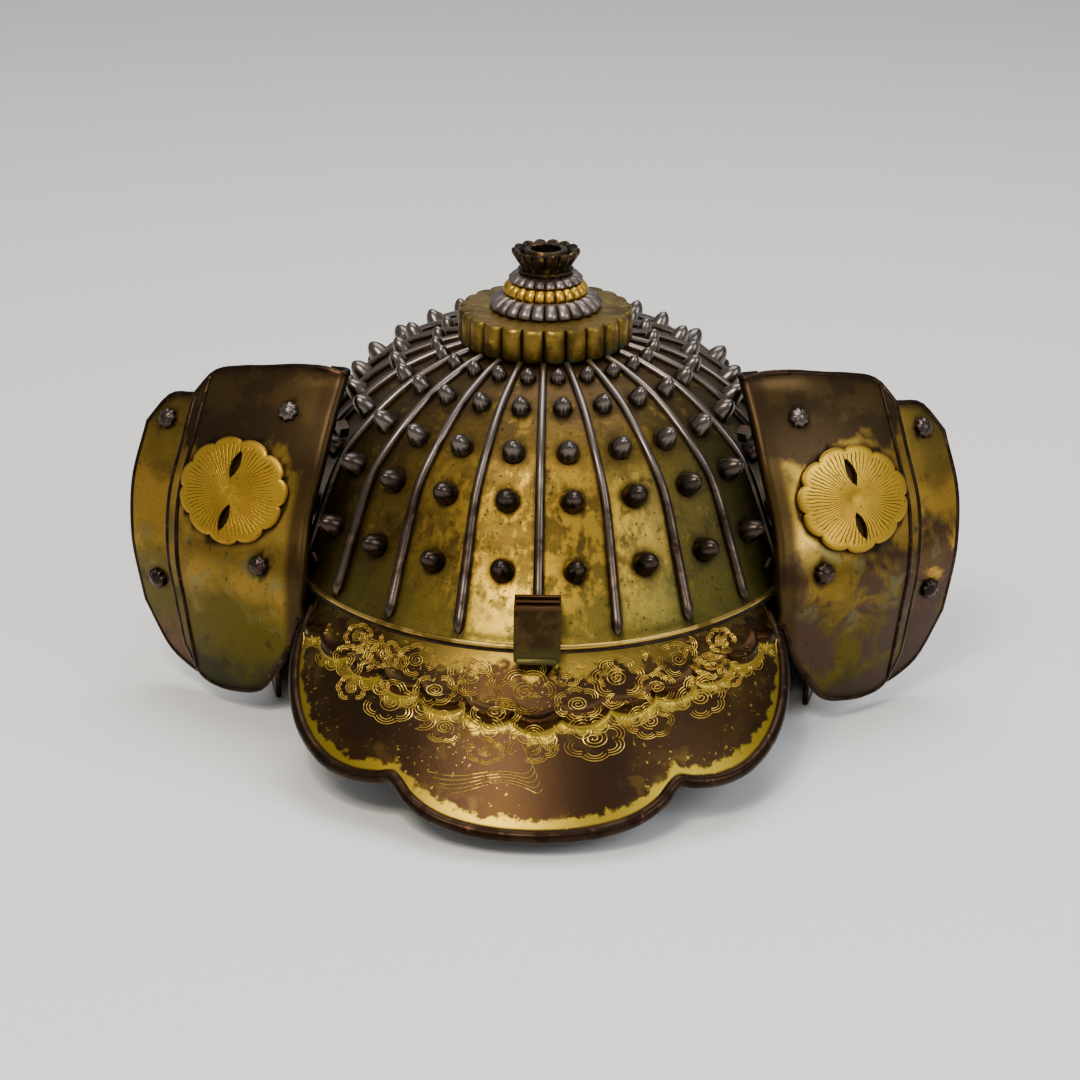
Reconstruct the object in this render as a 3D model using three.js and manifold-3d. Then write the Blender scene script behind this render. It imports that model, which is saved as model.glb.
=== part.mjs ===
// A kabuto helmet: a bowl of 24 ribbed and riveted plates, a lobed peak, a crown fitting with a top opening,
// and a neck guard of three strips, the upper two of which end in wings that fold back beside the bowl.
// Millimetres, +Z up, the front looks along -Y. Heights are above the surface that the helmet rests on.
import * as THREE from "three";
import { mergeVertices } from "three/addons/utils/BufferGeometryUtils.js";
import Module from "manifold-3d";

const wasm = await Module();
wasm.setup();

// Driving dimensions
const CLEARANCE = 0.3;
const BOWL_HALF_WIDTH = 105;
const RIM_HEIGHT = 60;
const BOWL_RISE = 83;
const PLATE_COUNT = 24;
const PLATE_WALL = 2;
const RIB_WIDTH = 4;
const RIB_RISE = 3;
const RIVET_DIAMETER = 9.4;
const RIVET_RISE = 7.6;
const RIVET_SIDES = 5;

const BAND_WALL = 2;
const BAND_HEIGHT = 15;
const BAND_SETBACK = 0.2;

const PEAK_REACH = 50.2;
const PEAK_SPREAD = 54;
const PEAK_SLOPE = 45;
const PEAK_WALL = 2;
const PEAK_RIM_WIDTH = 3.8;
const PEAK_RIM_RISE = 1.4;
const PEAK_DROP = 2.7;
const CLOUD_REACH = 21;
const CLOUD_RISE = 1.2;
const CLOUD_LOBE = 1.7;

const SOCKET_WIDTH = 17;
const SOCKET_HEIGHT = 21;
const SOCKET_REACH = 7;
const SOCKET_LEAN = 8;
const SOCKET_LIFT = 1;
const SLOT_WIDTH = 12.6;
const SLOT_THICKNESS = 2;
const SLOT_DEPTH = 14;
const SLOT_COUNT = 2;

const OPENING_DIAMETER = 12;
const DRUM_DIAMETER = 69;
const DRUM_HEIGHT = 12.6;
const DRUM_WALL = 3;
const DRUM_SCALLOP = 2;
const LOWER_RING_DIAMETER = 45;
const LOWER_RING_HEIGHT = 5.6;
const GILT_RING_DIAMETER = 33.6;
const GILT_RING_HEIGHT = 4.4;
const UPPER_RING_DIAMETER = 29.6;
const UPPER_RING_HEIGHT = 3.4;
const PETAL_DEPTH = 1.1;
const PETAL_COUNT = 24;
const INNER_PETAL_COUNT = 16;
const CUP_FOOT_DIAMETER = 17;
const CUP_DIAMETER = 27;
const CUP_HEIGHT = 9.2;
const CUP_PETAL_COUNT = 14;

const LAME_WALL = 2;
const LAME_RIM_RISE = 0.9;
const LAME_RIM_WIDTH = 3;
const LAME_LENGTH_RATIO = 1.16;
const LAME_BACK_FLARE = 0.42;
const STRIP_STEPS = 7;
const STRIP_START = 84;
const UPPER_LAME_TOP = 54;
const UPPER_LAME_BOTTOM = 30;
const MIDDLE_LAME_TOP = 36;
const MIDDLE_LAME_BOTTOM = 13;
const LOWER_LAME_TOP = 19;
const LOWER_LAME_FRONT = 71;

const WING_HEIGHT = 128;
const WING_SPAN = 56;
const WING_FOOT = 7.5;
const WING_CROWN = 3;
const OUTER_WING_HEIGHT = 112;
const OUTER_WING_SPAN = 60;
const OUTER_WING_FOOT = 8;

const EMBLEM_WIDTH = 49;
const EMBLEM_HEIGHT = 41;
const EMBLEM_WALL = 1.6;
const EMBLEM_LIFT = 0.65;
const EMBLEM_LOBES = 11;
const EMBLEM_SLIT_LENGTH = 9;
const EMBLEM_SLIT_WIDTH = 3.6;
const WING_RIVET_DIAMETER = 7.6;
const WING_RIVET_RISE = 2.6;
const WING_RIVET_SIDES = 5;
const EMBLEM_LOBE_DEPTH = 0.08;
const EMBLEM_SLIT_REACH = 10.5;
const EMBLEM_SLIT_TILT = -14;
const PEG_SIDE = 4.6;
const PEG_CLEARANCE = 0.6;

// Bowl section from the rim to the crown. Rise is a share of BOWL_RISE, width of BOWL_HALF_WIDTH, length and back
// the ratios of the front and rear half to the width there, shift a share of BOWL_HALF_WIDTH towards the front,
// and turn the lean of the rib spacing towards the sides. Rivet is the share of the full rivet size in that row.
const BOWL_FORM = [
  { rise: 0, width: 1, length: 1.15, back: 1.16, shift: 0, turn: 0.043, rivet: 0 },
  { rise: 0.272, width: 0.917, length: 1.05, back: 1.23, shift: 0.02, turn: 0.036, rivet: 1 },
  { rise: 0.542, width: 0.826, length: 1.0, back: 1.3, shift: 0.03, turn: 0.03, rivet: 1 },
  { rise: 0.718, width: 0.698, length: 1.03, back: 1.37, shift: 0.031, turn: 0.024, rivet: 0.95 },
  { rise: 0.857, width: 0.547, length: 1.02, back: 1.38, shift: 0.034, turn: 0.017, rivet: 0.8 },
  { rise: 0.936, width: 0.402, length: 1.02, back: 1.3, shift: 0.038, turn: 0.012, rivet: 0.66 },
];
const SEAT_FORM = { rise: 0.962, width: 0.33, length: 1.02, back: 1.12, shift: 0.04, turn: 0.011 };
const CROWN_FORM = { rise: 0.985, width: 0.22, length: 1.02, back: 1.04, shift: 0.042, turn: 0.01 };

// Outline of the peak: turn is a share of PEAK_SPREAD from the front centre, reach a share of PEAK_REACH
const PEAK_FORM = [
  { turn: 0, reach: 1 },
  { turn: 0.08, reach: 0.995 },
  { turn: 0.17, reach: 0.975 },
  { turn: 0.25, reach: 0.935 },
  { turn: 0.32, reach: 0.865 },
  { turn: 0.38, reach: 0.775 },
  { turn: 0.43, reach: 0.795 },
  { turn: 0.5, reach: 0.81 },
  { turn: 0.58, reach: 0.79 },
  { turn: 0.66, reach: 0.73 },
  { turn: 0.74, reach: 0.64 },
  { turn: 0.82, reach: 0.52 },
  { turn: 0.9, reach: 0.37 },
  { turn: 0.96, reach: 0.22 },
  { turn: 1, reach: 0.1 },
];

// Crease of the wings, where they fold out of the neck guard, from the floor up. Height is above the floor as a
// share of WING_HEIGHT, width the half width of the oval that the crease lies on as a share of BOWL_HALF_WIDTH,
// length the ratio of that oval, and turn its angle from the front in degrees.
const CREASE_FORM = [
  { height: 0, width: 1.03, length: 1.16, turn: 59 },
  { height: 0.36, width: 1.038, length: 1.16, turn: 57.5 },
  { height: 0.5, width: 1.045, length: 1.15, turn: 57 },
  { height: 0.66, width: 1.0, length: 1.12, turn: 59.5 },
  { height: 0.82, width: 0.935, length: 1.08, turn: 60.5 },
  { height: 0.94, width: 0.865, length: 1.06, turn: 64 },
  { height: 1.04, width: 0.79, length: 1.05, turn: 69 },
];

// Outer edge of the wings against the crease: out is the span along +X and back the run along +Y, as shares of
// WING_SPAN at the same heights
const WING_SWEEP = [
  { height: 0, out: 0.8, back: 0.49 },
  { height: 0.36, out: 0.92, back: 0.49 },
  { height: 0.5, out: 0.95, back: 0.5 },
  { height: 0.66, out: 0.97, back: 0.49 },
  { height: 0.82, out: 0.965, back: 0.49 },
  { height: 0.94, out: 0.96, back: 0.47 },
  { height: 1.04, out: 0.96, back: 0.45 },
];

// Upper and lower edges of the front wings from the crease outwards: across is a share of the span, top and
// foot are shares of WING_HEIGHT above WING_FOOT
const WING_EDGE = [
  { across: 0, top: 0.99, foot: 0.31 },
  { across: 0.08, top: 1, foot: 0.2 },
  { across: 0.2, top: 1, foot: 0.11 },
  { across: 0.32, top: 0.995, foot: 0.045 },
  { across: 0.5, top: 0.98, foot: 0.02 },
  { across: 0.72, top: 0.965, foot: 0.012 },
  { across: 0.9, top: 0.94, foot: 0.035 },
  { across: 1, top: 0.88, foot: 0.12 },
];
const OUTER_WING_EDGE = [
  { across: 0, top: 0.98, foot: 0.2 },
  { across: 0.08, top: 1, foot: 0.1 },
  { across: 0.3, top: 1, foot: 0.02 },
  { across: 0.55, top: 0.99, foot: 0 },
  { across: 0.74, top: 0.98, foot: 0.03 },
  { across: 0.88, top: 0.96, foot: 0.09 },
  { across: 1, top: 0.87, foot: 0.24 },
];
// The leg behind the crease: along is the share of the way from the fold to STRIP_START, top the share of the
// wing that still stands there
const LEG_FALL = [
  { along: 0.13, top: 0.82 },
  { along: 0.28, top: 0.46 },
  { along: 0.44, top: 0.14 },
  { along: 0.62, top: 0 },
  { along: 0.82, top: 0 },
  { along: 1, top: 0 },
];

// Places on the wings: across is a share of the wing's span from its crease, height a share of WING_HEIGHT
const EMBLEM_PLACE = { across: 0.51, height: 0.71 };
const WING_RIVETS = [
  { name: "front_upper", wing: "front", across: 0.25, height: 0.94 },
  { name: "front_lower", wing: "front", across: 0.25, height: 0.523 },
  { name: "outer_upper", wing: "outer", across: 0.84, height: 0.845 },
  { name: "outer_lower", wing: "outer", across: 0.82, height: 0.375 },
];
// Pegs beside the bowl: height is a share of WING_HEIGHT, and stand the share of RIB_RISE left free for a rib
const PEGS = [
  { name: "upper", height: 0.9, stand: 2.1 },
  { name: "lower", height: 0.54, stand: 0.4 },
];

// Colours of the real finishes
const GOLD = { color: 0xa88a3a, roughness: 0.38, metalness: 1 };
const GUNMETAL = { color: 0x5a4a44, roughness: 0.42, metalness: 1 };
const BROWN = { color: 0x6d4a30, roughness: 0.45, metalness: 1 };
const GILT = { color: 0xd0a43c, roughness: 0.33, metalness: 1 };
const SILVER = { color: 0x8d8580, roughness: 0.38, metalness: 1 };

const radians = THREE.MathUtils.degToRad;
const lerp = THREE.MathUtils.lerp;
const point = (x, y, z) => new THREE.Vector3(x, y, z);

// Reads one column of a table at a place between its rows, with a smooth curve through them
function readTable(table, key, place, column) {
  let row = 0;
  while (row < table.length - 2 && place > table[row + 1][key]) row += 1;
  const from = table[row];
  const to = table[row + 1];
  const before = table[Math.max(row - 1, 0)];
  const after = table[Math.min(row + 2, table.length - 1)];
  const step = to[key] - from[key];
  const share = THREE.MathUtils.clamp((place - from[key]) / step, 0, 1);
  const slopeFrom = ((to[column] - before[column]) / (to[key] - before[key])) * step;
  const slopeTo = ((after[column] - from[column]) / (after[key] - from[key])) * step;
  const s2 = share * share;
  const s3 = s2 * share;
  return (2 * s3 - 3 * s2 + 1) * from[column] + (s3 - 2 * s2 + share) * slopeFrom
    + (3 * s2 - 2 * s3) * to[column] + (s3 - s2) * slopeTo;
}

const CROWN_TABLE = [...BOWL_FORM, SEAT_FORM, CROWN_FORM];

// A point of the bowl's outer face: rise is a share of BOWL_RISE, angle is from the front towards +X in radians
function bowlPoint(rise, angle, proud = 0) {
  const at = (column) => readTable(CROWN_TABLE, "rise", rise, column);
  const width = at("width") * BOWL_HALF_WIDTH;
  const turned = angle + at("turn") * Math.sin(2 * angle);
  const x = width * Math.sin(turned);
  const reach = Math.cos(turned) > 0 ? at("length") : at("back");
  const y = -width * reach * Math.cos(turned) - at("shift") * BOWL_HALF_WIDTH;
  const place = point(x, y, RIM_HEIGHT + rise * BOWL_RISE);
  return proud === 0 ? place : place.addScaledVector(bowlNormal(rise, angle), proud);
}

function bowlNormal(rise, angle) {
  const step = 0.004;
  const low = Math.max(rise - step, 0);
  const up = bowlPoint(rise + step, angle).sub(bowlPoint(low, angle));
  const side = bowlPoint(rise, angle + step).sub(bowlPoint(rise, angle - step));
  return side.cross(up).normalize();
}

// Millimetres along the bowl for each radian of angle
function bowlScale(rise, angle) {
  const step = 0.004;
  return bowlPoint(rise, angle + step).distanceTo(bowlPoint(rise, angle - step)) / (2 * step);
}

// The same between two rows of BOWL_FORM, where the plates run straight
function platePoint(rise, angle) {
  const next = BOWL_FORM.findIndex((row) => row.rise > rise);
  const from = BOWL_FORM[next - 1];
  const to = BOWL_FORM[next];
  return bowlPoint(from.rise, angle).lerp(bowlPoint(to.rise, angle), (rise - from.rise) / (to.rise - from.rise));
}

// Where the bowl's face has a given share of its half width
function riseAtWidth(width) {
  let low = 0;
  let high = CROWN_FORM.rise;
  for (let pass = 0; pass < 40; pass += 1) {
    const middle = (low + high) / 2;
    if (readTable(CROWN_TABLE, "rise", middle, "width") > width) low = middle;
    else high = middle;
  }
  return low;
}

// Makes a closed geometry from corner triples, turned so that its faces point out
function closedGeometry(triangles) {
  const corners = triangles.flat();
  let volume = 0;
  for (const [a, b, c] of triangles) volume += a.dot(b.clone().cross(c));
  const geometry = new THREE.BufferGeometry();
  const values = [];
  for (let index = 0; index < corners.length; index += 3) {
    const order = volume > 0 ? [0, 1, 2] : [0, 2, 1];
    for (const corner of order) values.push(...corners[index + corner].toArray());
  }
  geometry.setAttribute("position", new THREE.Float32BufferAttribute(values, 3));
  return mergeVertices(geometry, 1e-4);
}

const quad = (a, b, c, d) => [[a, b, c], [a, c, d]];

// Flat cover over one outline, with or without a hole in it
function cover(outline, holes = []) {
  const normal = point(0, 0, 0);
  outline.forEach((from, index) => {
    const to = outline[(index + 1) % outline.length];
    normal.add(from.clone().cross(to));
  });
  normal.normalize();
  const across = outline[1].clone().sub(outline[0]).projectOnPlane(normal).normalize();
  const up = normal.clone().cross(across);
  const flat = (corner) => new THREE.Vector2(corner.dot(across), corner.dot(up));
  const faces = THREE.ShapeUtils.triangulateShape(outline.map(flat), holes.map((hole) => hole.map(flat)));
  const all = [outline, ...holes].flat();
  return faces.map((face) => face.map((index) => all[index]));
}

// Skin between equal loops, one after the other, with both ends covered
function loft(loops) {
  const triangles = [];
  for (let row = 0; row + 1 < loops.length; row += 1) {
    loops[row].forEach((corner, index) => {
      const next = (index + 1) % loops[row].length;
      triangles.push(...quad(corner, loops[row][next], loops[row + 1][next], loops[row + 1][index]));
    });
  }
  triangles.push(...cover(loops[0]).map(([a, b, c]) => [a, c, b]));
  triangles.push(...cover(loops[loops.length - 1]));
  return closedGeometry(triangles);
}

// Wall between two grids of points, face[column][row] and back[column][row]
function wall(face, back) {
  const triangles = [];
  const last = face.length - 1;
  const top = face[0].length - 1;
  for (let column = 0; column < last; column += 1) {
    for (let row = 0; row < top; row += 1) {
      const next = column + 1;
      triangles.push(...quad(face[column][row], face[next][row], face[next][row + 1], face[column][row + 1]));
      triangles.push(...quad(back[column][row], back[column][row + 1], back[next][row + 1], back[next][row]));
    }
    const next = column + 1;
    triangles.push(...quad(face[column][0], back[column][0], back[next][0], face[next][0]));
    triangles.push(...quad(face[column][top], face[next][top], back[next][top], back[column][top]));
  }
  for (let row = 0; row < top; row += 1) {
    triangles.push(...quad(face[0][row], face[0][row + 1], back[0][row + 1], back[0][row]));
    triangles.push(...quad(face[last][row], back[last][row], back[last][row + 1], face[last][row + 1]));
  }
  return closedGeometry(triangles);
}

function toSolid(geometry) {
  const plain = new THREE.BufferGeometry();
  plain.setAttribute("position", geometry.getAttribute("position").clone());
  if (geometry.index) plain.setIndex(geometry.index.clone());
  const merged = mergeVertices(plain, 1e-4);
  return new wasm.Manifold(new wasm.Mesh({
    numProp: 3,
    vertProperties: new Float32Array(merged.getAttribute("position").array),
    triVerts: new Uint32Array(merged.index.array),
  }));
}

function fromSolid(solid) {
  const mesh = solid.getMesh();
  const geometry = new THREE.BufferGeometry();
  geometry.setAttribute("position", new THREE.BufferAttribute(mesh.vertProperties, 3));
  geometry.setIndex(new THREE.BufferAttribute(mesh.triVerts, 1));
  return geometry;
}

const helmet = new THREE.Group();

function addPiece(name, geometry, finish) {
  geometry.computeVertexNormals();
  const mesh = new THREE.Mesh(geometry, new THREE.MeshStandardMaterial({ ...finish, flatShading: true }));
  mesh.name = name;
  helmet.add(mesh);
  return mesh;
}

// Turns +Z of a geometry to a direction and moves it to a place
function seat(geometry, place, direction, spin = 0) {
  const turn = new THREE.Quaternion().setFromUnitVectors(point(0, 0, 1), direction);
  geometry.rotateZ(spin);
  geometry.applyQuaternion(turn);
  geometry.translate(place.x, place.y, place.z);
  return geometry;
}

// Rivets above this share of the full size have a shoulder, and the small ones are plain cones
const FULL_RIVET = 0.96;

// Bullet-shaped rivet head standing on z = 0, with a foot sunk into the wall that carries it
function bulletRivet(size, sides, foot) {
  const radius = (RIVET_DIAMETER / 2) * size;
  const rise = RIVET_RISE * size;
  const profile = size > FULL_RIVET
    ? [[0, -foot], [radius, -foot], [radius * 0.86, rise * 0.5], [0, rise]]
    : [[0, -foot], [radius, -foot], [0, rise * 1.1]];
  const lathe = new THREE.LatheGeometry(profile.map(([r, z]) => new THREE.Vector2(r, z)), sides);
  return lathe.rotateX(Math.PI / 2);
}

// Bowl plates
const PLATE_ANGLE = (2 * Math.PI) / PLATE_COUNT;
const DRUM_SHARE = DRUM_DIAMETER / 2 / BOWL_HALF_WIDTH;
const RIB_END = riseAtWidth(DRUM_SHARE * 1.07);
const RIB_RUNOUT = riseAtWidth(DRUM_SHARE * 1.04);

// Section of one plate across the bowl: the raised rib at its leading edge, then the panel up to the next rib
function plateSection(rise, angle, ribShare) {
  const widthHere = readTable(CROWN_TABLE, "rise", rise, "width");
  const half = (RIB_WIDTH / 2) * lerp(0.72, 1, widthHere);
  const scale = bowlScale(rise, angle);
  const nextScale = bowlScale(rise, angle + PLATE_ANGLE);
  const end = angle + PLATE_ANGLE - (half + CLEARANCE) / nextScale;
  const crest = RIB_RISE * ribShare;
  const at = (offset, proud) => bowlPoint(rise, angle + offset / scale, proud);
  const section = [
    at(-half, 0),
    at(-half * 0.6, crest),
    at(half * 0.6, crest),
    at(half, 0),
    bowlPoint(rise, (angle + end) / 2),
    bowlPoint(rise, end),
    bowlPoint(rise, end, -PLATE_WALL),
    at(-half, -PLATE_WALL),
  ];
  // The rim is cut level
  if (rise === 0) section.forEach((corner) => corner.setZ(RIM_HEIGHT));
  return section;
}

function bowlPlate(index) {
  const angle = index * PLATE_ANGLE;
  const stations = BOWL_FORM.map((row) => [row.rise, 1]);
  stations.push([RIB_END, 1], [RIB_RUNOUT, 0.08], [CROWN_FORM.rise, 0.08]);
  let solid = toSolid(loft(stations.map(([rise, ribShare]) => plateSection(rise, angle, ribShare))));
  const middle = angle + PLATE_ANGLE / 2;
  for (const row of BOWL_FORM.filter((entry) => entry.rivet > 0)) {
    const rivet = seat(
      bulletRivet(row.rivet, RIVET_SIDES, PLATE_WALL * 0.6),
      bowlPoint(row.rise, middle, -0.35),
      bowlNormal(row.rise, middle),
    );
    solid = solid.add(toSolid(rivet));
  }
  return fromSolid(solid);
}

for (let index = 0; index < PLATE_COUNT; index += 1) {
  addPiece(`bowl_plate_${String(index).padStart(2, "0")}`, bowlPlate(index), GOLD);
}

// Ring at the foot of the bowl
const RIM_RATIO = BOWL_FORM[0].length;
const BAND_TOP = RIM_HEIGHT - CLEARANCE;
const BAND_HALF_WIDTH = BOWL_HALF_WIDTH - BAND_SETBACK;

function oval(halfWidth, halfLength, angle, height) {
  return point(halfWidth * Math.sin(angle), -halfLength * Math.cos(angle), height);
}

function baseBand() {
  const steps = 48;
  const bottom = BAND_TOP - BAND_HEIGHT;
  const halfLength = BOWL_HALF_WIDTH * RIM_RATIO - BAND_SETBACK;
  const ring = (inset, height) => Array.from({ length: steps }, (_, index) => oval(
    BAND_HALF_WIDTH - inset,
    halfLength - inset,
    (index / steps) * 2 * Math.PI,
    height,
  ));
  return ringBody([ring(0, bottom), ring(0, BAND_TOP)], [ring(BAND_WALL, BAND_TOP), ring(BAND_WALL, bottom)]);
}

// Body with a hole: outer rings of equal count from bottom to top, then hole rings from top to bottom
function ringBody(outer, inner) {
  const triangles = [];
  const skin = (rings) => {
    for (let row = 0; row + 1 < rings.length; row += 1) {
      rings[row].forEach((corner, index) => {
        const next = (index + 1) % rings[row].length;
        triangles.push(...quad(corner, rings[row][next], rings[row + 1][next], rings[row + 1][index]));
      });
    }
  };
  skin(outer);
  skin(inner);
  triangles.push(...cover(outer[outer.length - 1], [inner[0]]));
  triangles.push(...cover(outer[0], [inner[inner.length - 1]]).map(([a, b, c]) => [a, c, b]));
  return closedGeometry(triangles);
}

addPiece("base_band", baseBand(), GUNMETAL);

// Peak
const ROOT_HALF_WIDTH = BAND_HALF_WIDTH + CLEARANCE;
const ROOT_HALF_LENGTH = BOWL_HALF_WIDTH * RIM_RATIO - BAND_SETBACK + CLEARANCE;
const ROOT_HEIGHT = RIM_HEIGHT - PEAK_DROP;

// A point of the peak: out is the level distance from its root, lift the distance above its upper face
function peakPoint(angle, out, lift) {
  const root = oval(ROOT_HALF_WIDTH, ROOT_HALF_LENGTH, angle, ROOT_HEIGHT);
  const outward = point(Math.sin(angle) / ROOT_HALF_WIDTH, -Math.cos(angle) / ROOT_HALF_LENGTH, 0).normalize();
  const slope = radians(PEAK_SLOPE);
  root.addScaledVector(outward, out + lift * Math.sin(slope));
  root.z += lift * Math.cos(slope) - out * Math.tan(slope);
  return root;
}

// Level distance from the root to the edge of the raised cloud field
function cloudReach(share) {
  const swell = Math.abs(Math.cos(share * Math.PI * 6.5));
  return CLOUD_REACH * (1 - 0.62 * share ** 0.8) + CLOUD_LOBE * (swell - 0.5);
}

function peakSection(share) {
  const angle = radians(PEAK_SPREAD) * share;
  const side = Math.abs(share);
  const reach = readTable(PEAK_FORM, "turn", side, "reach") * PEAK_REACH;
  const rim = Math.min(PEAK_RIM_WIDTH, reach * 0.45);
  const cloud = Math.min(cloudReach(side), (reach - rim) * 0.75);
  const slope = Math.sin(radians(PEAK_SLOPE));
  const rise = Math.min(CLOUD_RISE, cloud * 0.2);
  return [
    peakPoint(angle, -rise * slope, rise),
    peakPoint(angle, cloud - CLOUD_RISE / 2, rise),
    peakPoint(angle, cloud + CLOUD_RISE / 2, 0),
    peakPoint(angle, reach - rim, 0),
    peakPoint(angle, reach - rim * 0.55, PEAK_RIM_RISE),
    peakPoint(angle, reach, -PEAK_WALL / 2),
    peakPoint(angle, reach - rim * 0.55, -PEAK_WALL - PEAK_RIM_RISE),
    peakPoint(angle, PEAK_WALL * slope, -PEAK_WALL),
  ];
}

function peakBody() {
  const steps = 28;
  const shares = Array.from({ length: steps + 1 }, (_, index) => (2 * index) / steps - 1);
  return loft(shares.map(peakSection));
}

addPiece("peak", peakBody(), BROWN);

// Crest socket: a wedge that stands on the front rib, with slots for a crest's prongs in its top
function crestSocket() {
  const foot = RIM_HEIGHT - PEAK_DROP + SOCKET_LIFT;
  const top = foot + SOCKET_HEIGHT;
  const [rimCrest, nextCrest] = BOWL_FORM.slice(0, 2).map((row) => plateSection(row.rise, 0, 1)[1]);
  const ribFace = (height) => {
    const share = Math.max((height - rimCrest.z) / (nextCrest.z - rimCrest.z), 0);
    return lerp(rimCrest.y, nextCrest.y, share);
  };
  const lean = Math.tan(radians(SOCKET_LEAN)) * SOCKET_HEIGHT;
  const frontFoot = ribFace(RIM_HEIGHT) - SOCKET_REACH;
  const side = new THREE.Shape([
    new THREE.Vector2(frontFoot, foot),
    new THREE.Vector2(ribFace(RIM_HEIGHT) - CLEARANCE, foot),
    new THREE.Vector2(ribFace(RIM_HEIGHT) - CLEARANCE, RIM_HEIGHT),
    new THREE.Vector2(ribFace(top) - CLEARANCE, top),
    new THREE.Vector2(frontFoot + lean, top),
  ]);
  const block = new THREE.ExtrudeGeometry(side, { depth: SOCKET_WIDTH, bevelEnabled: false, curveSegments: 1 });
  block.translate(0, 0, -SOCKET_WIDTH / 2);
  block.applyMatrix4(new THREE.Matrix4().makeBasis(point(0, 1, 0), point(0, 0, 1), point(1, 0, 0)));
  let solid = toSolid(block);
  const depthAtTop = ribFace(top) - CLEARANCE - frontFoot - lean;
  for (let index = 0; index < SLOT_COUNT; index += 1) {
    const slot = new THREE.BoxGeometry(SLOT_WIDTH, SLOT_THICKNESS, SLOT_DEPTH * 2);
    const along = ((index + 1) / (SLOT_COUNT + 1)) * depthAtTop;
    slot.rotateX(-radians(SOCKET_LEAN));
    slot.translate(0, frontFoot + lean + along, top);
    solid = solid.subtract(toSolid(slot));
  }
  return fromSolid(solid);
}

addPiece("crest_socket", crestSocket(), BROWN);

// Crown fitting
const CROWN_CENTRE = -CROWN_FORM.shift * BOWL_HALF_WIDTH;

// Ring of points round the top opening. Every second point dips by depth, to make petals or scallops.
function crownRing(radius, height, count, depth = 0) {
  return Array.from({ length: count }, (_, index) => {
    const angle = (index / count) * 2 * Math.PI;
    const reach = radius - (index % 2 === 0 ? depth : 0);
    return point(reach * Math.sin(angle), CROWN_CENTRE - reach * Math.cos(angle), height);
  });
}

const HOLE_SIDES = 12;
const holeRing = (height) => crownRing(OPENING_DIAMETER / 2, height, HOLE_SIDES);

function crownSeatHeight(radius) {
  return Math.max(...Array.from({ length: 24 }, (_, index) => {
    const share = riseAtWidth((radius / BOWL_HALF_WIDTH) * 0.99);
    return bowlPoint(share, (index / 24) * 2 * Math.PI).z;
  }));
}

const DRUM_RADIUS = DRUM_DIAMETER / 2;
const DRUM_FOOT = crownSeatHeight(DRUM_RADIUS - DRUM_WALL - DRUM_SCALLOP) + RIB_RISE * 0.08 + CLEARANCE;
const DRUM_TOP = DRUM_FOOT + DRUM_HEIGHT;

function crownDrum() {
  const inside = DRUM_RADIUS - DRUM_SCALLOP - DRUM_WALL;
  const count = PLATE_COUNT * 2;
  const scallops = (height) => crownRing(DRUM_RADIUS, height, count, DRUM_SCALLOP);
  const under = DRUM_TOP - DRUM_WALL;
  const outer = [scallops(DRUM_FOOT), scallops(DRUM_TOP)];
  const triangles = [];
  const skin = (low, high) => low.forEach((corner, index) => {
    const next = (index + 1) % low.length;
    triangles.push(...quad(corner, low[next], high[next], high[index]));
  });
  const innerLow = crownRing(inside, DRUM_FOOT, 24);
  const innerHigh = crownRing(inside, under, 24);
  skin(outer[0], outer[1]);
  triangles.push(...cover(outer[1], [holeRing(DRUM_TOP)]));
  skin(holeRing(DRUM_TOP), holeRing(under));
  triangles.push(...cover(innerHigh, [holeRing(under)]).map(([a, b, c]) => [a, c, b]));
  skin(innerHigh, innerLow);
  triangles.push(...cover(outer[0], [innerLow]).map(([a, b, c]) => [a, c, b]));
  return closedGeometry(triangles);
}

// Ring of petals that rises from its full radius to a smaller top
function petalRing(diameter, foot, height, levels, count = PETAL_COUNT) {
  const outer = levels.map(([share, inset]) => crownRing(
    diameter / 2 - inset,
    foot + height * share,
    count * 2,
    PETAL_DEPTH,
  ));
  return ringBody(outer, [holeRing(foot + height), holeRing(foot)]);
}

addPiece("crown_drum", crownDrum(), GOLD);
const LOWER_RING_FOOT = DRUM_TOP + CLEARANCE;
const GILT_RING_FOOT = LOWER_RING_FOOT + LOWER_RING_HEIGHT + CLEARANCE;
const UPPER_RING_FOOT = GILT_RING_FOOT + GILT_RING_HEIGHT + CLEARANCE;
const CUP_FOOT = UPPER_RING_FOOT + UPPER_RING_HEIGHT + CLEARANCE;
const LOWER_RING_INSET = (LOWER_RING_DIAMETER - GILT_RING_DIAMETER) / 2;
addPiece("crown_ring_lower", petalRing(LOWER_RING_DIAMETER, LOWER_RING_FOOT, LOWER_RING_HEIGHT, [
  [0, 0.6],
  [0.35, 0],
  [1, LOWER_RING_INSET],
]), SILVER);
addPiece("crown_ring_gilt", petalRing(GILT_RING_DIAMETER, GILT_RING_FOOT, GILT_RING_HEIGHT, [
  [0, 0],
  [1, (GILT_RING_DIAMETER - UPPER_RING_DIAMETER) / 2],
], INNER_PETAL_COUNT), GILT);
addPiece("crown_ring_upper", petalRing(UPPER_RING_DIAMETER, UPPER_RING_FOOT, UPPER_RING_HEIGHT, [
  [0, 0],
  [1, (UPPER_RING_DIAMETER - CUP_FOOT_DIAMETER) / 4],
], INNER_PETAL_COUNT), SILVER);

function crownCup() {
  const flare = (CUP_DIAMETER - CUP_FOOT_DIAMETER) / 2;
  const levels = [[0, flare], [0.3, flare * 0.8], [1, 0]];
  return petalRing(CUP_DIAMETER, CUP_FOOT, CUP_HEIGHT, levels, CUP_PETAL_COUNT);
}

addPiece("crown_cup", crownCup(), GUNMETAL);

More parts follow.
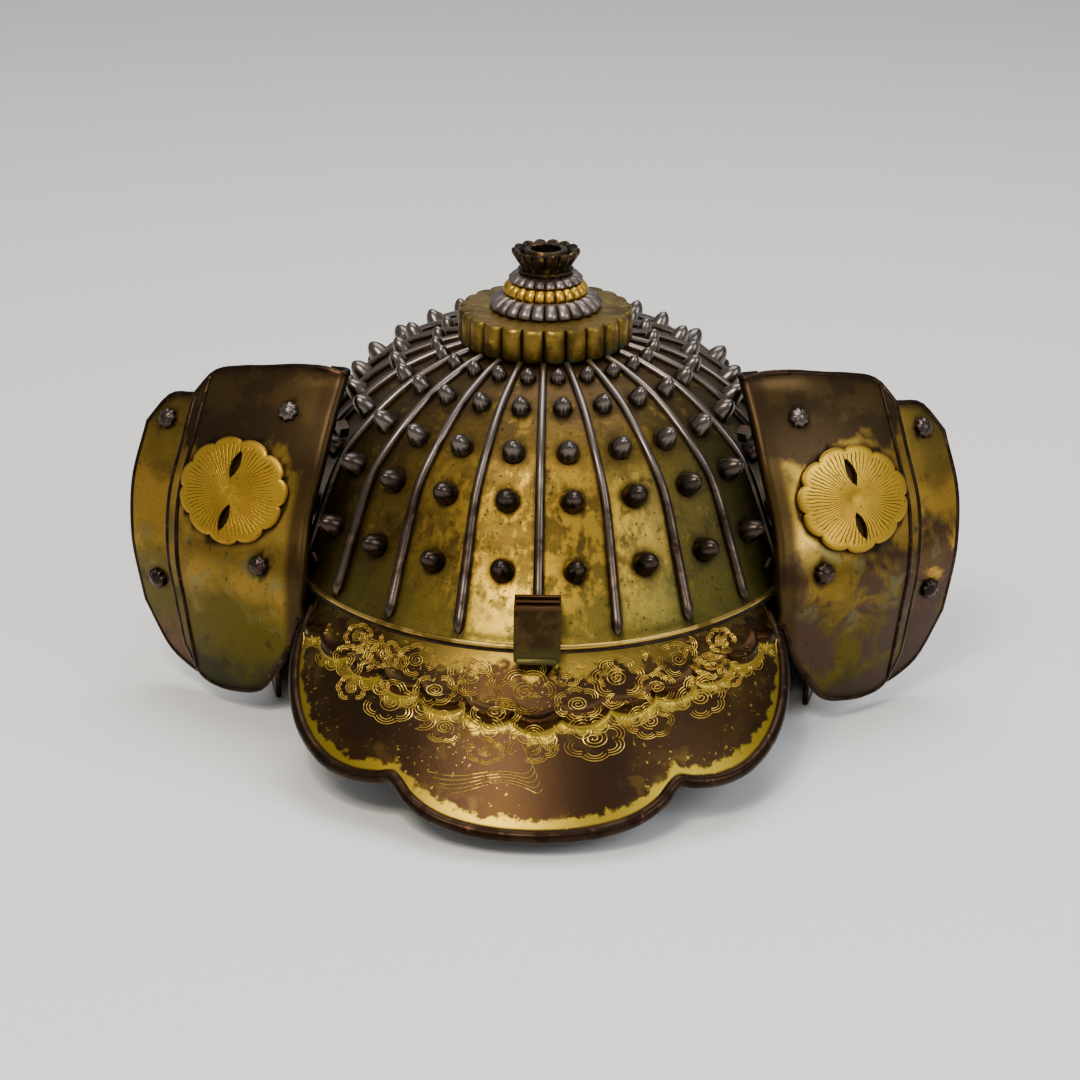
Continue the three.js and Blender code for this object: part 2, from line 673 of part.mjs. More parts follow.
// Neck guard and wings
// Middle of a strip's wall: the upper strip lies on the base band and each lower one outside the last
const STRIP_STEP = LAME_WALL + CLEARANCE * 1.5;
const STRIP_TURN = (Math.PI - radians(STRIP_START)) / STRIP_STEPS;

function stripHalfWidth(order, angle, height) {
  const back = Math.max(0, -Math.cos(angle));
  const flare = LAME_BACK_FLARE * back * back * (UPPER_LAME_TOP - height);
  const inner = (BOWL_HALF_WIDTH + CLEARANCE + LAME_WALL / 2) / Math.cos(STRIP_TURN / 2);
  return inner + STRIP_STEP * order + flare;
}

function stripPoint(order, angle, height) {
  const half = stripHalfWidth(order, angle, height);
  return oval(half, half * LAME_LENGTH_RATIO, angle, height);
}

const WING_SETS = {
  front: {
    order: 0, edge: WING_EDGE, height: WING_HEIGHT, foot: WING_FOOT, span: WING_SPAN, behind: 0, inset: 0,
    stripTop: UPPER_LAME_TOP, stripBottom: UPPER_LAME_BOTTOM, fold: 2.3,
  },
  outer: {
    order: 1, edge: OUTER_WING_EDGE, height: OUTER_WING_HEIGHT, foot: OUTER_WING_FOOT, span: OUTER_WING_SPAN,
    behind: 7.3, inset: 18.5, stripTop: MIDDLE_LAME_TOP, stripBottom: MIDDLE_LAME_BOTTOM, fold: 2.3,
  },
};

// Crease line of a wing at a height, on the +X side
function creasePoint(set, height) {
  const share = height / WING_HEIGHT;
  const at = (column) => readTable(CREASE_FORM, "height", share, column);
  const half = at("width") * BOWL_HALF_WIDTH + LAME_WALL;
  const crease = oval(half, half * at("length"), radians(at("turn")), height);
  const sweep = sweepDirection(height);
  const back = point(-sweep.y, sweep.x, 0);
  return crease.addScaledVector(sweep, set.inset).addScaledVector(back, set.behind);
}

function sweepDirection(height) {
  const share = height / WING_HEIGHT;
  const out = readTable(WING_SWEEP, "height", share, "out");
  const back = readTable(WING_SWEEP, "height", share, "back");
  return point(out, back, 0).normalize();
}

// A point in the middle of a wing's wall: across is a share of the span from the crease
function wingPoint(set, across, height) {
  const share = height / WING_HEIGHT;
  const out = readTable(WING_SWEEP, "height", share, "out");
  const back = readTable(WING_SWEEP, "height", share, "back");
  const length = set.span * Math.hypot(out, back);
  const sweep = sweepDirection(height);
  const front = point(sweep.y, -sweep.x, 0);
  const crown = WING_CROWN * 4 * across * (1 - across);
  return creasePoint(set, height).addScaledVector(sweep, across * length).addScaledVector(front, crown);
}

function wingTop(set, across) {
  return set.foot + readTable(set.edge, "across", across, "top") * set.height;
}

function wingFoot(set, across) {
  return set.foot + readTable(set.edge, "across", across, "foot") * set.height;
}

// A point of the leg that runs back from the fold beside the bowl and turns into the strip of the neck guard
function legPoint(set, along, height) {
  const crease = creasePoint(set, height);
  const sweep = sweepDirection(height);
  const back = point(-sweep.y, sweep.x, 0);
  const start = crease.addScaledVector(back, set.fold * 2).addScaledVector(sweep, set.fold * 2.2);
  const startAngle = Math.atan2(start.x, -start.y / LAME_LENGTH_RATIO);
  const startHalf = Math.hypot(start.x, start.y / LAME_LENGTH_RATIO);
  const angle = lerp(startAngle, radians(STRIP_START), along);
  const settle = THREE.MathUtils.smoothstep(along, 0.3, 0.85);
  const half = lerp(startHalf, stripHalfWidth(set.order, angle, height), settle);
  return oval(half, half * LAME_LENGTH_RATIO, angle, height);
}

// One half of a strip with its wing, as columns of points in the middle of its wall, from the wing's outer
// edge round the fold to the centre of the back
function stripColumns(set) {
  const columns = [];
  const border = LAME_RIM_WIDTH / set.height;
  const rows = [0, border, 0.36, 0.68, 1 - border, 1];
  const fill = (low, high, place) => {
    columns.push(rows.map((share) => place(lerp(low, high, share))));
  };
  for (const across of [1, 1 - LAME_RIM_WIDTH / set.span, 0.8, 0.55, 0.3, 0.12, 0.03]) {
    fill(wingFoot(set, across), wingTop(set, across), (height) => wingPoint(set, across, height));
  }
  const foldTop = wingTop(set, 0);
  const foldFoot = wingFoot(set, 0);
  for (const turn of [45, 100]) {
    fill(foldFoot, foldTop, (height) => {
      const sweep = sweepDirection(height);
      const back = point(-sweep.y, sweep.x, 0);
      const along = -set.fold * Math.sin(radians(turn));
      const behind = set.fold * (1 - Math.cos(radians(turn)));
      return creasePoint(set, height).addScaledVector(sweep, along).addScaledVector(back, behind);
    });
  }
  const legFoot = (along) => lerp(foldFoot, set.stripBottom, THREE.MathUtils.smoothstep(along, 0.6, 1));
  fill(foldFoot, foldTop, (height) => legPoint(set, 0, height));
  for (const row of LEG_FALL) {
    const top = set.stripTop + row.top * (foldTop - set.stripTop);
    fill(legFoot(row.along), top, (height) => legPoint(set, row.along, height));
  }
  for (let step = 1; step <= STRIP_STEPS; step += 1) {
    const angle = radians(STRIP_START) + step * STRIP_TURN;
    fill(set.stripBottom, set.stripTop, (height) => stripPoint(set.order, angle, height));
  }
  return columns;
}

// Columns of the wing itself, before the fold
const WING_COLUMNS = 7;

const mirrored = (place) => point(-place.x, place.y, place.z);

// Thickens a grid of middle points into a wall. The wings, its first and last columns, get a raised border.
function thickened(columns, wingColumns) {
  const last = columns.length - 1;
  const top = columns[0].length - 1;
  const offset = (column, row, side) => {
    const along = columns[Math.min(column + 1, last)][row].clone().sub(columns[Math.max(column - 1, 0)][row]);
    const up = columns[column][Math.min(row + 1, top)].clone().sub(columns[column][Math.max(row - 1, 0)]);
    const normal = along.cross(up).normalize();
    const onWing = Math.min(column, last - column) < wingColumns;
    const onBorder = onWing && (row === 0 || row === top || column === 0 || column === last);
    const depth = LAME_WALL / 2 + (onBorder ? LAME_RIM_RISE : 0);
    return columns[column][row].clone().addScaledVector(normal, side * depth);
  };
  const face = columns.map((column, c) => column.map((_, r) => offset(c, r, 1)));
  const back = columns.map((column, c) => column.map((_, r) => offset(c, r, -1)));
  return wall(face, back);
}

function wingedStrip(set) {
  const half = stripColumns(set);
  const other = half.slice(0, -1).map((column) => column.map(mirrored));
  return thickened([...half, ...other.reverse()], WING_COLUMNS);
}

WING_SETS.front.piece = addPiece("lame_upper", wingedStrip(WING_SETS.front), GOLD);
WING_SETS.outer.piece = addPiece("lame_middle", wingedStrip(WING_SETS.outer), GOLD);

function plainStrip() {
  const half = [radians(LOWER_LAME_FRONT)];
  for (let step = 0; step <= STRIP_STEPS; step += 1) half.push(radians(STRIP_START) + step * STRIP_TURN);
  const angles = [...half, ...half.slice(0, -1).map((angle) => 2 * Math.PI - angle).reverse()];
  const offset = (side) => angles.map((angle) => [0, 1].map((share) => {
    const outward = point(Math.sin(angle), -Math.cos(angle) / LAME_LENGTH_RATIO, 0).normalize();
    return stripPoint(2, angle, LOWER_LAME_TOP * share).addScaledVector(outward, (side * LAME_WALL) / 2);
  }));
  return wall(offset(1), offset(-1));
}

addPiece("lame_lower", plainStrip(), GOLD);

// Direction out of a wing's front face
function wingNormal(set, across, height) {
  const step = 0.01;
  const side = wingPoint(set, across + step, height).sub(wingPoint(set, across - step, height));
  const up = wingPoint(set, across, height + 1).sub(wingPoint(set, across, height - 1));
  return side.cross(up).normalize();
}

// A place on or above a wing's front face
function onWing(set, across, height, lift) {
  const depth = LAME_WALL / 2 + lift;
  return wingPoint(set, across, height).addScaledVector(wingNormal(set, across, height), depth);
}

function lensShape(length, width) {
  const shape = new THREE.Shape();
  shape.moveTo(0, -length / 2);
  shape.quadraticCurveTo(width, 0, 0, length / 2);
  shape.quadraticCurveTo(-width, 0, 0, -length / 2);
  return shape;
}

// Lobed disc that lies along the curve of the front wing, with two almond slits through it
function emblem() {
  const set = WING_SETS.front;
  const across = EMBLEM_PLACE.across;
  const height = EMBLEM_PLACE.height * WING_HEIGHT;
  const span = wingPoint(set, 1, height).distanceTo(wingPoint(set, 0, height));
  const rate = wingPoint(set, across, height + 1).distanceTo(wingPoint(set, across, height));
  const place = (u, v, lift) => onWing(set, across + u / span, height + v / rate, lift);
  const count = EMBLEM_LOBES * 2;
  const ring = (share, lift) => Array.from({ length: count }, (_, index) => {
    const angle = (index / count) * 2 * Math.PI + Math.PI / 2;
    const reach = (share / 2) * (index % 2 === 0 ? 1 - EMBLEM_LOBE_DEPTH : 1);
    return place(reach * EMBLEM_WIDTH * Math.cos(angle), reach * EMBLEM_HEIGHT * Math.sin(angle), lift);
  });
  const triangles = [];
  const faces = [EMBLEM_LIFT, EMBLEM_LIFT + EMBLEM_WALL].map((lift) => [ring(1, lift), ring(0.5, lift)]);
  faces.forEach(([edge, middle], face) => {
    const centre = place(0, 0, face === 0 ? EMBLEM_LIFT : EMBLEM_LIFT + EMBLEM_WALL);
    edge.forEach((corner, index) => {
      const next = (index + 1) % count;
      const skin = [...quad(corner, edge[next], middle[next], middle[index]), [middle[index], middle[next], centre]];
      triangles.push(...(face === 0 ? skin : skin.map(([a, b, c]) => [a, c, b])));
    });
  });
  faces[0][0].forEach((corner, index) => {
    const next = (index + 1) % count;
    triangles.push(...quad(corner, faces[1][0][index], faces[1][0][next], faces[0][0][next]));
  });
  let solid = toSolid(closedGeometry(triangles));
  for (const side of [-1, 1]) {
    const slit = new THREE.ExtrudeGeometry(lensShape(EMBLEM_SLIT_LENGTH, EMBLEM_SLIT_WIDTH), {
      depth: EMBLEM_WALL * 6,
      bevelEnabled: false,
      curveSegments: 3,
    });
    slit.translate(0, 0, -EMBLEM_WALL * 3);
    const middle = place(0, side * EMBLEM_SLIT_REACH, EMBLEM_LIFT + EMBLEM_WALL / 2);
    const out = wingNormal(set, across, height);
    const up = point(0, 0, 1).projectOnPlane(out).normalize();
    slit.rotateZ(radians(EMBLEM_SLIT_TILT));
    slit.applyMatrix4(new THREE.Matrix4().makeBasis(up.clone().cross(out), up, out).setPosition(middle));
    solid = solid.subtract(toSolid(slit));
  }
  return fromSolid(solid);
}

// A geometry of the +X side and its mirror image on the other side
function mirrorGeometry(geometry) {
  const copy = geometry.clone();
  const place = copy.getAttribute("position");
  for (let index = 0; index < place.count; index += 1) place.setX(index, -place.getX(index));
  const order = copy.index;
  for (let corner = 0; corner < order.count; corner += 3) {
    const first = order.getX(corner);
    order.setX(corner, order.getX(corner + 1));
    order.setX(corner + 1, first);
  }
  return copy;
}

function addPair(name, geometry, finish) {
  const flat = new THREE.BufferGeometry();
  flat.setAttribute("position", geometry.getAttribute("position").clone());
  flat.setIndex(geometry.index.clone());
  addPiece(`${name}_right`, mirrorGeometry(flat), finish);
  addPiece(`${name}_left`, flat, finish);
}

addPair("emblem", emblem(), GILT);

function wingRivet() {
  const radius = WING_RIVET_DIAMETER / 2;
  const profile = [[0, 0], [radius, 0], [radius * 0.75, WING_RIVET_RISE * 0.8], [0, WING_RIVET_RISE]];
  const lathe = new THREE.LatheGeometry(profile.map(([r, z]) => new THREE.Vector2(r, z)), WING_RIVET_SIDES);
  return fromSolid(toSolid(lathe.rotateX(Math.PI / 2)));
}

// Moves a place along a direction until a head of the given radius stands clear of the facets under it, on this
// side and on the other
function rivetSeat(piece, place, direction, radius) {
  const side = point(0, 0, 1).cross(direction).normalize();
  const up = direction.clone().cross(side);
  const spots = [place.clone()];
  for (let turn = 0; turn < 360; turn += 30) {
    const spot = place.clone().addScaledVector(side, radius * Math.cos(radians(turn)));
    spots.push(spot.addScaledVector(up, radius * Math.sin(radians(turn))));
  }
  const reach = BOWL_HALF_WIDTH;
  const ray = new THREE.Raycaster();
  const lifts = spots.flatMap((spot) => [(corner) => corner, mirrored].map((image) => {
    ray.set(image(spot.clone().addScaledVector(direction, reach)), image(direction.clone().negate()));
    const [hit] = ray.intersectObject(piece);
    return hit ? reach - hit.distance : -reach;
  }));
  return place.clone().addScaledVector(direction, Math.max(...lifts) + CLEARANCE);
}

for (const row of WING_RIVETS) {
  const set = WING_SETS[row.wing];
  const height = row.height * WING_HEIGHT;
  const normal = wingNormal(set, row.across, height);
  const place = rivetSeat(set.piece, onWing(set, row.across, height, 0), normal, WING_RIVET_DIAMETER / 2);
  addPair(`wing_rivet_${row.name}`, seat(wingRivet(), place, normal), BROWN);
}

// Square peg between the nearest rib height of the bowl and the fold of a wing
function foldPeg(row) {
  const height = row.height * WING_HEIGHT;
  const set = WING_SETS.front;
  const sweep = sweepDirection(height);
  const middle = creasePoint(set, height).addScaledVector(point(-sweep.y, sweep.x, 0), set.fold);
  const rise = (height - RIM_HEIGHT) / BOWL_RISE;
  let foot = platePoint(rise, 0);
  for (let angle = 0; angle < 90; angle += 0.25) {
    const other = platePoint(rise, radians(angle));
    if (other.distanceTo(middle) < foot.distanceTo(middle)) foot = other;
  }
  const line = middle.clone().sub(foot);
  const near = RIB_RISE * row.stand + PEG_CLEARANCE;
  const far = line.length() - set.fold - LAME_WALL / 2 - PEG_CLEARANCE - PEG_SIDE * 0.3;
  line.normalize();
  const peg = new THREE.BoxGeometry(PEG_SIDE, PEG_SIDE, far - near);
  return seat(fromSolid(toSolid(peg)), foot.addScaledVector(line, (near + far) / 2), line);
}

for (const row of PEGS) addPair(`peg_${row.name}`, foldPeg(row), BROWN);

// The box of the whole helmet is centred on the vertical axis
const box = new THREE.Box3().setFromObject(helmet);
const shift = -(box.min.y + box.max.y) / 2;
for (const mesh of helmet.children) mesh.geometry.translate(0, shift, 0);

export default helmet;
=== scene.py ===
"""A kabuto helmet of riveted brass plates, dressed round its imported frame.

Sizes are in millimetres and are turned to metres where a mesh is made. +Z is up and the peak points along -Y.
"""
import math

import bpy
import numpy as np
from mathutils import Matrix, Vector


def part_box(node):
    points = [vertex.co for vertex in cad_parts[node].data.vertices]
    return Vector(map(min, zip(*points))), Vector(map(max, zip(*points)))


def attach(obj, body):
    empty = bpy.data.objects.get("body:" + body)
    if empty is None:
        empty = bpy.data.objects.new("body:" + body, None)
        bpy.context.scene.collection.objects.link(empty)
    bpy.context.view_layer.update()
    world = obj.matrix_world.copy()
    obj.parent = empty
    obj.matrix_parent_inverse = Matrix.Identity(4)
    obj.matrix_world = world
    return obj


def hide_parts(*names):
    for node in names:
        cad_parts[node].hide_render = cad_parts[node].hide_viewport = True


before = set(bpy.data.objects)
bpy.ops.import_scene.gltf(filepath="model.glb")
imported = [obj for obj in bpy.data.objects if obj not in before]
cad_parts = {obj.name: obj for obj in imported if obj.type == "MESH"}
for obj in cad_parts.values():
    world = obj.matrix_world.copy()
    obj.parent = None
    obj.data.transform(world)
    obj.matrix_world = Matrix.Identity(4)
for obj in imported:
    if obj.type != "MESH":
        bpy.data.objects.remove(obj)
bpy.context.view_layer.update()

# The bowl's own middle in the row frame, in millimetres
band_low, band_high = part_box("base_band")
BOWL_MIDDLE_Y = (band_low.y + band_high.y) / 2 * 1000

# Sizes of the solids in millimetres and degrees. The ratios, BOWL_TOP, CROWN_SHIFT and LAME_BACK_FLARE are shares
CLEARANCE = 0.3
BOWL_HALF_WIDTH = 105
RIM_LENGTH_RATIO = 1.15
RIM_HEIGHT = 60
BOWL_RISE = 83
BOWL_TOP = 0.985
PLATE_COUNT = 24
PLATE_WALL = 2
RIB_RISE = 3
BAND_HEIGHT = 15
BAND_SETBACK = 0.2
PEAK_REACH = 50.2
PEAK_SPREAD = 54
PEAK_SLOPE = 45
PEAK_WALL = 2
PEAK_DROP = 2.7
CLOUD_REACH = 21
CLOUD_RISE = 1.2
CLOUD_WAVES = 6.5
PEAK_FACE_INSET = 1.6
SOCKET_WIDTH = 17
SOCKET_HEIGHT = 21
SOCKET_REACH = 7
SOCKET_LEAN = 8
SOCKET_LIFT = 1
CROWN_SHIFT = 0.042
OPENING_RADIUS = 6
DRUM_RADIUS = 34.5
LAME_WALL = 2
LAME_LENGTH_RATIO = 1.16
LAME_BACK_FLARE = 0.42
STRIP_STEPS = 7
STRIP_START = 84
UPPER_LAME_TOP = 54
LOWER_LAME_TOP = 19
LOWER_LAME_FRONT = 71
WING_HEIGHT = 128
WING_CROWN = 3
EMBLEM_WIDTH = 49
EMBLEM_HEIGHT = 41
EMBLEM_LIFT = 0.65
EMBLEM_LOBES = 11
EMBLEM_ACROSS = 0.51
EMBLEM_UP = 0.71 * WING_HEIGHT

# Tables of the solids: the first column is the place, the others are shares
# rise, width, length, back, shift, turn
BOWL_FORM = [
    (0, 1, 1.15, 1.16, 0, 0.043),
    (0.272, 0.917, 1.05, 1.23, 0.02, 0.036),
    (0.542, 0.826, 1.0, 1.3, 0.03, 0.03),
    (0.718, 0.698, 1.03, 1.37, 0.031, 0.024),
    (0.857, 0.547, 1.02, 1.38, 0.034, 0.017),
    (0.936, 0.402, 1.02, 1.3, 0.038, 0.012),
    (0.962, 0.33, 1.02, 1.12, 0.04, 0.011),
    (0.985, 0.22, 1.02, 1.04, 0.042, 0.01),
]
RIVET_ROWS = [(0.272, 1), (0.542, 1), (0.718, 0.95), (0.857, 0.8), (0.936, 0.66)]
# turn, reach
PEAK_FORM = [
    (0, 1), (0.08, 0.995), (0.17, 0.975), (0.25, 0.935), (0.32, 0.865), (0.38, 0.775), (0.43, 0.795),
    (0.5, 0.81), (0.58, 0.79), (0.66, 0.73), (0.74, 0.64), (0.82, 0.52), (0.9, 0.37), (0.96, 0.22), (1, 0.1),
]
# height, width, length, turn
CREASE_FORM = [
    (0, 1.03, 1.16, 59), (0.36, 1.038, 1.16, 57.5), (0.5, 1.045, 1.15, 57), (0.66, 1.0, 1.12, 59.5),
    (0.82, 0.935, 1.08, 60.5), (0.94, 0.865, 1.06, 64), (1.04, 0.79, 1.05, 69),
]
# height, out, back
WING_SWEEP = [
    (0, 0.8, 0.49), (0.36, 0.92, 0.49), (0.5, 0.95, 0.5), (0.66, 0.97, 0.49), (0.82, 0.965, 0.49),
    (0.94, 0.96, 0.47), (1.04, 0.96, 0.45),
]
# across, top, foot
WING_EDGE = [
    (0, 0.99, 0.31), (0.08, 1, 0.2), (0.2, 1, 0.11), (0.32, 0.995, 0.045), (0.5, 0.98, 0.02),
    (0.72, 0.965, 0.012), (0.9, 0.94, 0.035), (1, 0.88, 0.12),
]
OUTER_WING_EDGE = [
    (0, 0.98, 0.2), (0.08, 1, 0.1), (0.3, 1, 0.02), (0.55, 0.99, 0), (0.74, 0.98, 0.03), (0.88, 0.96, 0.09),
    (1, 0.87, 0.24),
]
# along, top
LEG_FALL = [(0, 1), (0.13, 0.82), (0.28, 0.46), (0.44, 0.14), (0.62, 0), (0.82, 0), (1, 0)]

FRONT_WING = dict(
    order=0, edge=WING_EDGE, height=WING_HEIGHT, foot=7.5, span=56, behind=0, inset=0,
    top=UPPER_LAME_TOP, bottom=30)
OUTER_WING = dict(
    order=1, edge=OUTER_WING_EDGE, height=112, foot=8, span=60, behind=7.3, inset=18.5, top=36, bottom=13)
FOLD = 2.3

MM = 0.001
MIRROR = np.array([-1, 1, 1])


# ---------------------------------------------------------------- shapes as arrays of points

def round_angles(count):
    """Angles of a whole turn in equal steps, without the last one."""
    return np.arange(count) / count * 2 * math.pi


def read(table, place, column):
    """One column of a table at places between its rows, on a smooth curve through them."""
    rows = np.array([row[0] for row in table], float)
    values = np.array([row[column] for row in table], float)
    place = np.asarray(place, float)
    low = np.searchsorted(rows[1:-1], place, side="left")
    high = low + 1
    before = np.maximum(low - 1, 0)
    after = np.minimum(low + 2, len(rows) - 1)
    step = rows[high] - rows[low]
    share = np.clip((place - rows[low]) / step, 0, 1)
    slope_low = (values[high] - values[before]) / (rows[high] - rows[before]) * step
    slope_high = (values[after] - values[low]) / (rows[after] - rows[low]) * step
    s2, s3 = share ** 2, share ** 3
    return ((2 * s3 - 3 * s2 + 1) * values[low] + (s3 - 2 * s2 + share) * slope_low
            + (3 * s2 - 2 * s3) * values[high] + (s3 - s2) * slope_high)


def unit(vectors):
    return vectors / np.maximum(np.linalg.norm(vectors, axis=-1, keepdims=True), 1e-9)


def smooth_step(value, low, high):
    share = np.clip((value - low) / (high - low), 0, 1)
    return share * share * (3 - 2 * share)


def bowl_surface(rise, angle):
    rise, angle = np.broadcast_arrays(np.asarray(rise, float), np.asarray(angle, float))
    width = read(BOWL_FORM, rise, 1) * BOWL_HALF_WIDTH
    turned = angle + read(BOWL_FORM, rise, 5) * np.sin(2 * angle)
    reach = np.where(np.cos(turned) > 0, read(BOWL_FORM, rise, 2), read(BOWL_FORM, rise, 3))
    return np.stack([
        width * np.sin(turned),
        -width * reach * np.cos(turned) - read(BOWL_FORM, rise, 4) * BOWL_HALF_WIDTH,
        RIM_HEIGHT + rise * BOWL_RISE,
    ], -1)


def bowl_facing(rise, angle):
    step = 0.004
    rise = np.asarray(rise, float)
    up = bowl_surface(rise + step, angle) - bowl_surface(np.maximum(rise - step, 0), angle)
    side = bowl_surface(rise, np.asarray(angle) + step) - bowl_surface(rise, np.asarray(angle) - step)
    return unit(np.cross(side, up))


def bowl_point(rise, angle, proud=0.0):
    return bowl_surface(rise, angle) + bowl_facing(rise, angle) * np.asarray(proud, float)[..., None]


def rise_at_width(width):
    low, high = 0.0, BOWL_TOP
    for _ in range(40):
        middle = (low + high) / 2
        if read(BOWL_FORM, middle, 1) > width:
            low = middle
        else:
            high = middle
    return low


def oval(half_width, half_length, angle, height):
    half_width, half_length, angle, height = np.broadcast_arrays(half_width, half_length, angle, height)
    return np.stack([half_width * np.sin(angle), -half_length * np.cos(angle), height], -1).astype(float)


ROOT_HALF_WIDTH = BOWL_HALF_WIDTH - BAND_SETBACK + CLEARANCE
ROOT_HALF_LENGTH = BOWL_HALF_WIDTH * RIM_LENGTH_RATIO - BAND_SETBACK + CLEARANCE
SLOPE = math.radians(PEAK_SLOPE)
PEAK_ROOT_RADIUS = BOWL_HALF_WIDTH * 1.08


def peak_point(angle, out, lift):
    """A point of the peak: out is the level distance from its root, lift the distance above its face."""
    angle, out, lift = np.broadcast_arrays(np.asarray(angle, float), np.asarray(out, float), np.asarray(lift, float))
    root = oval(ROOT_HALF_WIDTH, ROOT_HALF_LENGTH, angle, RIM_HEIGHT - PEAK_DROP)
    outward = unit(np.stack([np.sin(angle) / ROOT_HALF_WIDTH, -np.cos(angle) / ROOT_HALF_LENGTH, 0 * angle], -1))
    root = root + outward * (out + lift * math.sin(SLOPE))[..., None]
    root[..., 2] += lift * math.cos(SLOPE) - out * math.tan(SLOPE)
    return root


def peak_reach(share):
    return read(PEAK_FORM, np.abs(share), 1) * PEAK_REACH


def cloud_swell(share):
    """1 in the middle of each lobe of the cloud edge, 0 between two lobes."""
    return np.abs(np.cos(np.abs(share) * math.pi * CLOUD_WAVES)) ** 0.6


def cloud_reach(share):
    return CLOUD_REACH * (1.04 - 0.62 * np.hypot(share, 0.07) ** 0.8) + 3.2 * (cloud_swell(share) - 0.62)


def sweep_way(height):
    share = np.asarray(height, float) / WING_HEIGHT
    out, back = read(WING_SWEEP, share, 1), read(WING_SWEEP, share, 2)
    return unit(np.stack([out, back, 0 * out], -1)), np.hypot(out, back)


def crease_point(wing, height):
    height = np.asarray(height, float)
    share = height / WING_HEIGHT
    half = read(CREASE_FORM, share, 1) * BOWL_HALF_WIDTH + LAME_WALL
    crease = oval(half, half * read(CREASE_FORM, share, 2), np.radians(read(CREASE_FORM, share, 3)), height)
    sweep, _ = sweep_way(height)
    back = np.stack([-sweep[..., 1], sweep[..., 0], 0 * height], -1)
    return crease + sweep * wing["inset"] + back * wing["behind"], sweep, back


def wing_point(wing, across, height):
    across, height = np.broadcast_arrays(np.asarray(across, float), np.asarray(height, float))
    crease, sweep, back = crease_point(wing, height)
    _, rate = sweep_way(height)
    crown = WING_CROWN * 4 * across * (1 - across)
    return crease + sweep * (across * rate * wing["span"])[..., None] - back * crown[..., None]


def wing_facing(wing, across, height):
    side = wing_point(wing, np.asarray(across) + 0.01, height) - wing_point(wing, np.asarray(across) - 0.01, height)
    up = wing_point(wing, across, np.asarray(height) + 1) - wing_point(wing, across, np.asarray(height) - 1)
    return unit(np.cross(side, up))


def wing_span_of(wing, across):
    low = wing["foot"] + read(wing["edge"], across, 2) * wing["height"]
    high = wing["foot"] + read(wing["edge"], across, 1) * wing["height"]
    return low, high


STRIP_TURN = (math.pi - math.radians(STRIP_START)) / STRIP_STEPS


def strip_half(order, angle, height):
    back = np.maximum(0, -np.cos(angle))
    inner = (BOWL_HALF_WIDTH + CLEARANCE + LAME_WALL / 2) / math.cos(STRIP_TURN / 2)
    return inner + (LAME_WALL + CLEARANCE * 1.5) * order + LAME_BACK_FLARE * back ** 2 * (UPPER_LAME_TOP - height)


def strip_point(order, angle, height):
    half = strip_half(order, angle, height)
    return oval(half, half * LAME_LENGTH_RATIO, angle, height)


def leg_point(wing, along, height):
    crease, sweep, back = crease_point(wing, height)
    start = crease + back * FOLD * 2 + sweep * FOLD * 2.2
    start_angle = np.arctan2(start[..., 0], -start[..., 1] / LAME_LENGTH_RATIO)
    start_half = np.hypot(start[..., 0], start[..., 1] / LAME_LENGTH_RATIO)
    angle = start_angle + (math.radians(STRIP_START) - start_angle) * along
    settle = smooth_step(along, 0.3, 0.85)
    half = start_half + (strip_half(wing["order"], angle, height) - start_half) * settle
    return oval(half, half * LAME_LENGTH_RATIO, angle, height)


def strip_columns(wing, rows=30):
    """Middle of the wall of one half, from the wing's outer edge round the fold to the centre of the back."""
    shares = np.linspace(0, 1, rows)
    columns = []
    for across in np.concatenate([[1, 0.985, 0.955], np.linspace(0.92, 0, 24)]):
        low, high = wing_span_of(wing, across)
        columns.append(wing_point(wing, across, low + (high - low) * shares))
    fold_low, fold_high = wing_span_of(wing, 0)
    for turn in np.radians([22, 45, 68, 90, 112, 135, 158, 180]):
        height = fold_low + (fold_high - fold_low) * shares
        crease, sweep, back = crease_point(wing, height)
        columns.append(crease - sweep * FOLD * math.sin(turn) + back * FOLD * (1 - math.cos(turn)))
    for along in np.linspace(0, 1, 25):
        top = wing["top"] + max(float(read(LEG_FALL, along, 1)), 0) * (fold_high - wing["top"])
        low = fold_low + (wing["bottom"] - fold_low) * smooth_step(along, 0.6, 1)
        columns.append(leg_point(wing, along, low + (top - low) * shares))
    for angle in np.linspace(math.radians(STRIP_START), math.pi, 34)[1:]:
        columns.append(strip_point(wing["order"], angle, wing["bottom"] + (wing["top"] - wing["bottom"]) * shares))
    return np.array(columns)


def both_sides(half):
    return np.concatenate([half, half[:-1][::-1] * MIRROR])


# ---------------------------------------------------------------- meshes

def volume_of(points, faces):
    total = 0.0
    for face in faces:
        for b, c in zip(face[1:-1], face[2:]):
            total += float(np.dot(points[face[0]], np.cross(points[b], points[c])))
    return total


def outwards(points, faces):
    """The faces, turned round where they look into the shape."""
    return [tuple(reversed(face)) for face in faces] if volume_of(points, faces) < 0 else faces


def in_row(points):
    """Points of the shape functions, in millimetres round the bowl, as places in the row's frame."""
    return ((np.asarray(points, float) + np.array([0, BOWL_MIDDLE_Y, 0])) * MM).tolist()


def put(name, data):
    """A new object in the scene."""
    item = bpy.data.objects.new(name, data)
    bpy.context.scene.collection.objects.link(item)
    return item


def plain_mesh(name, carrier, *helpers):
    """What an object's modifiers make of it, as a plain mesh. The object and its helpers go."""
    bpy.context.view_layer.update()
    made = bpy.data.meshes.new_from_object(carrier.evaluated_get(bpy.context.evaluated_depsgraph_get()))
    for item in (carrier, *helpers):
        bpy.data.objects.remove(item)
    made.name = name
    return made


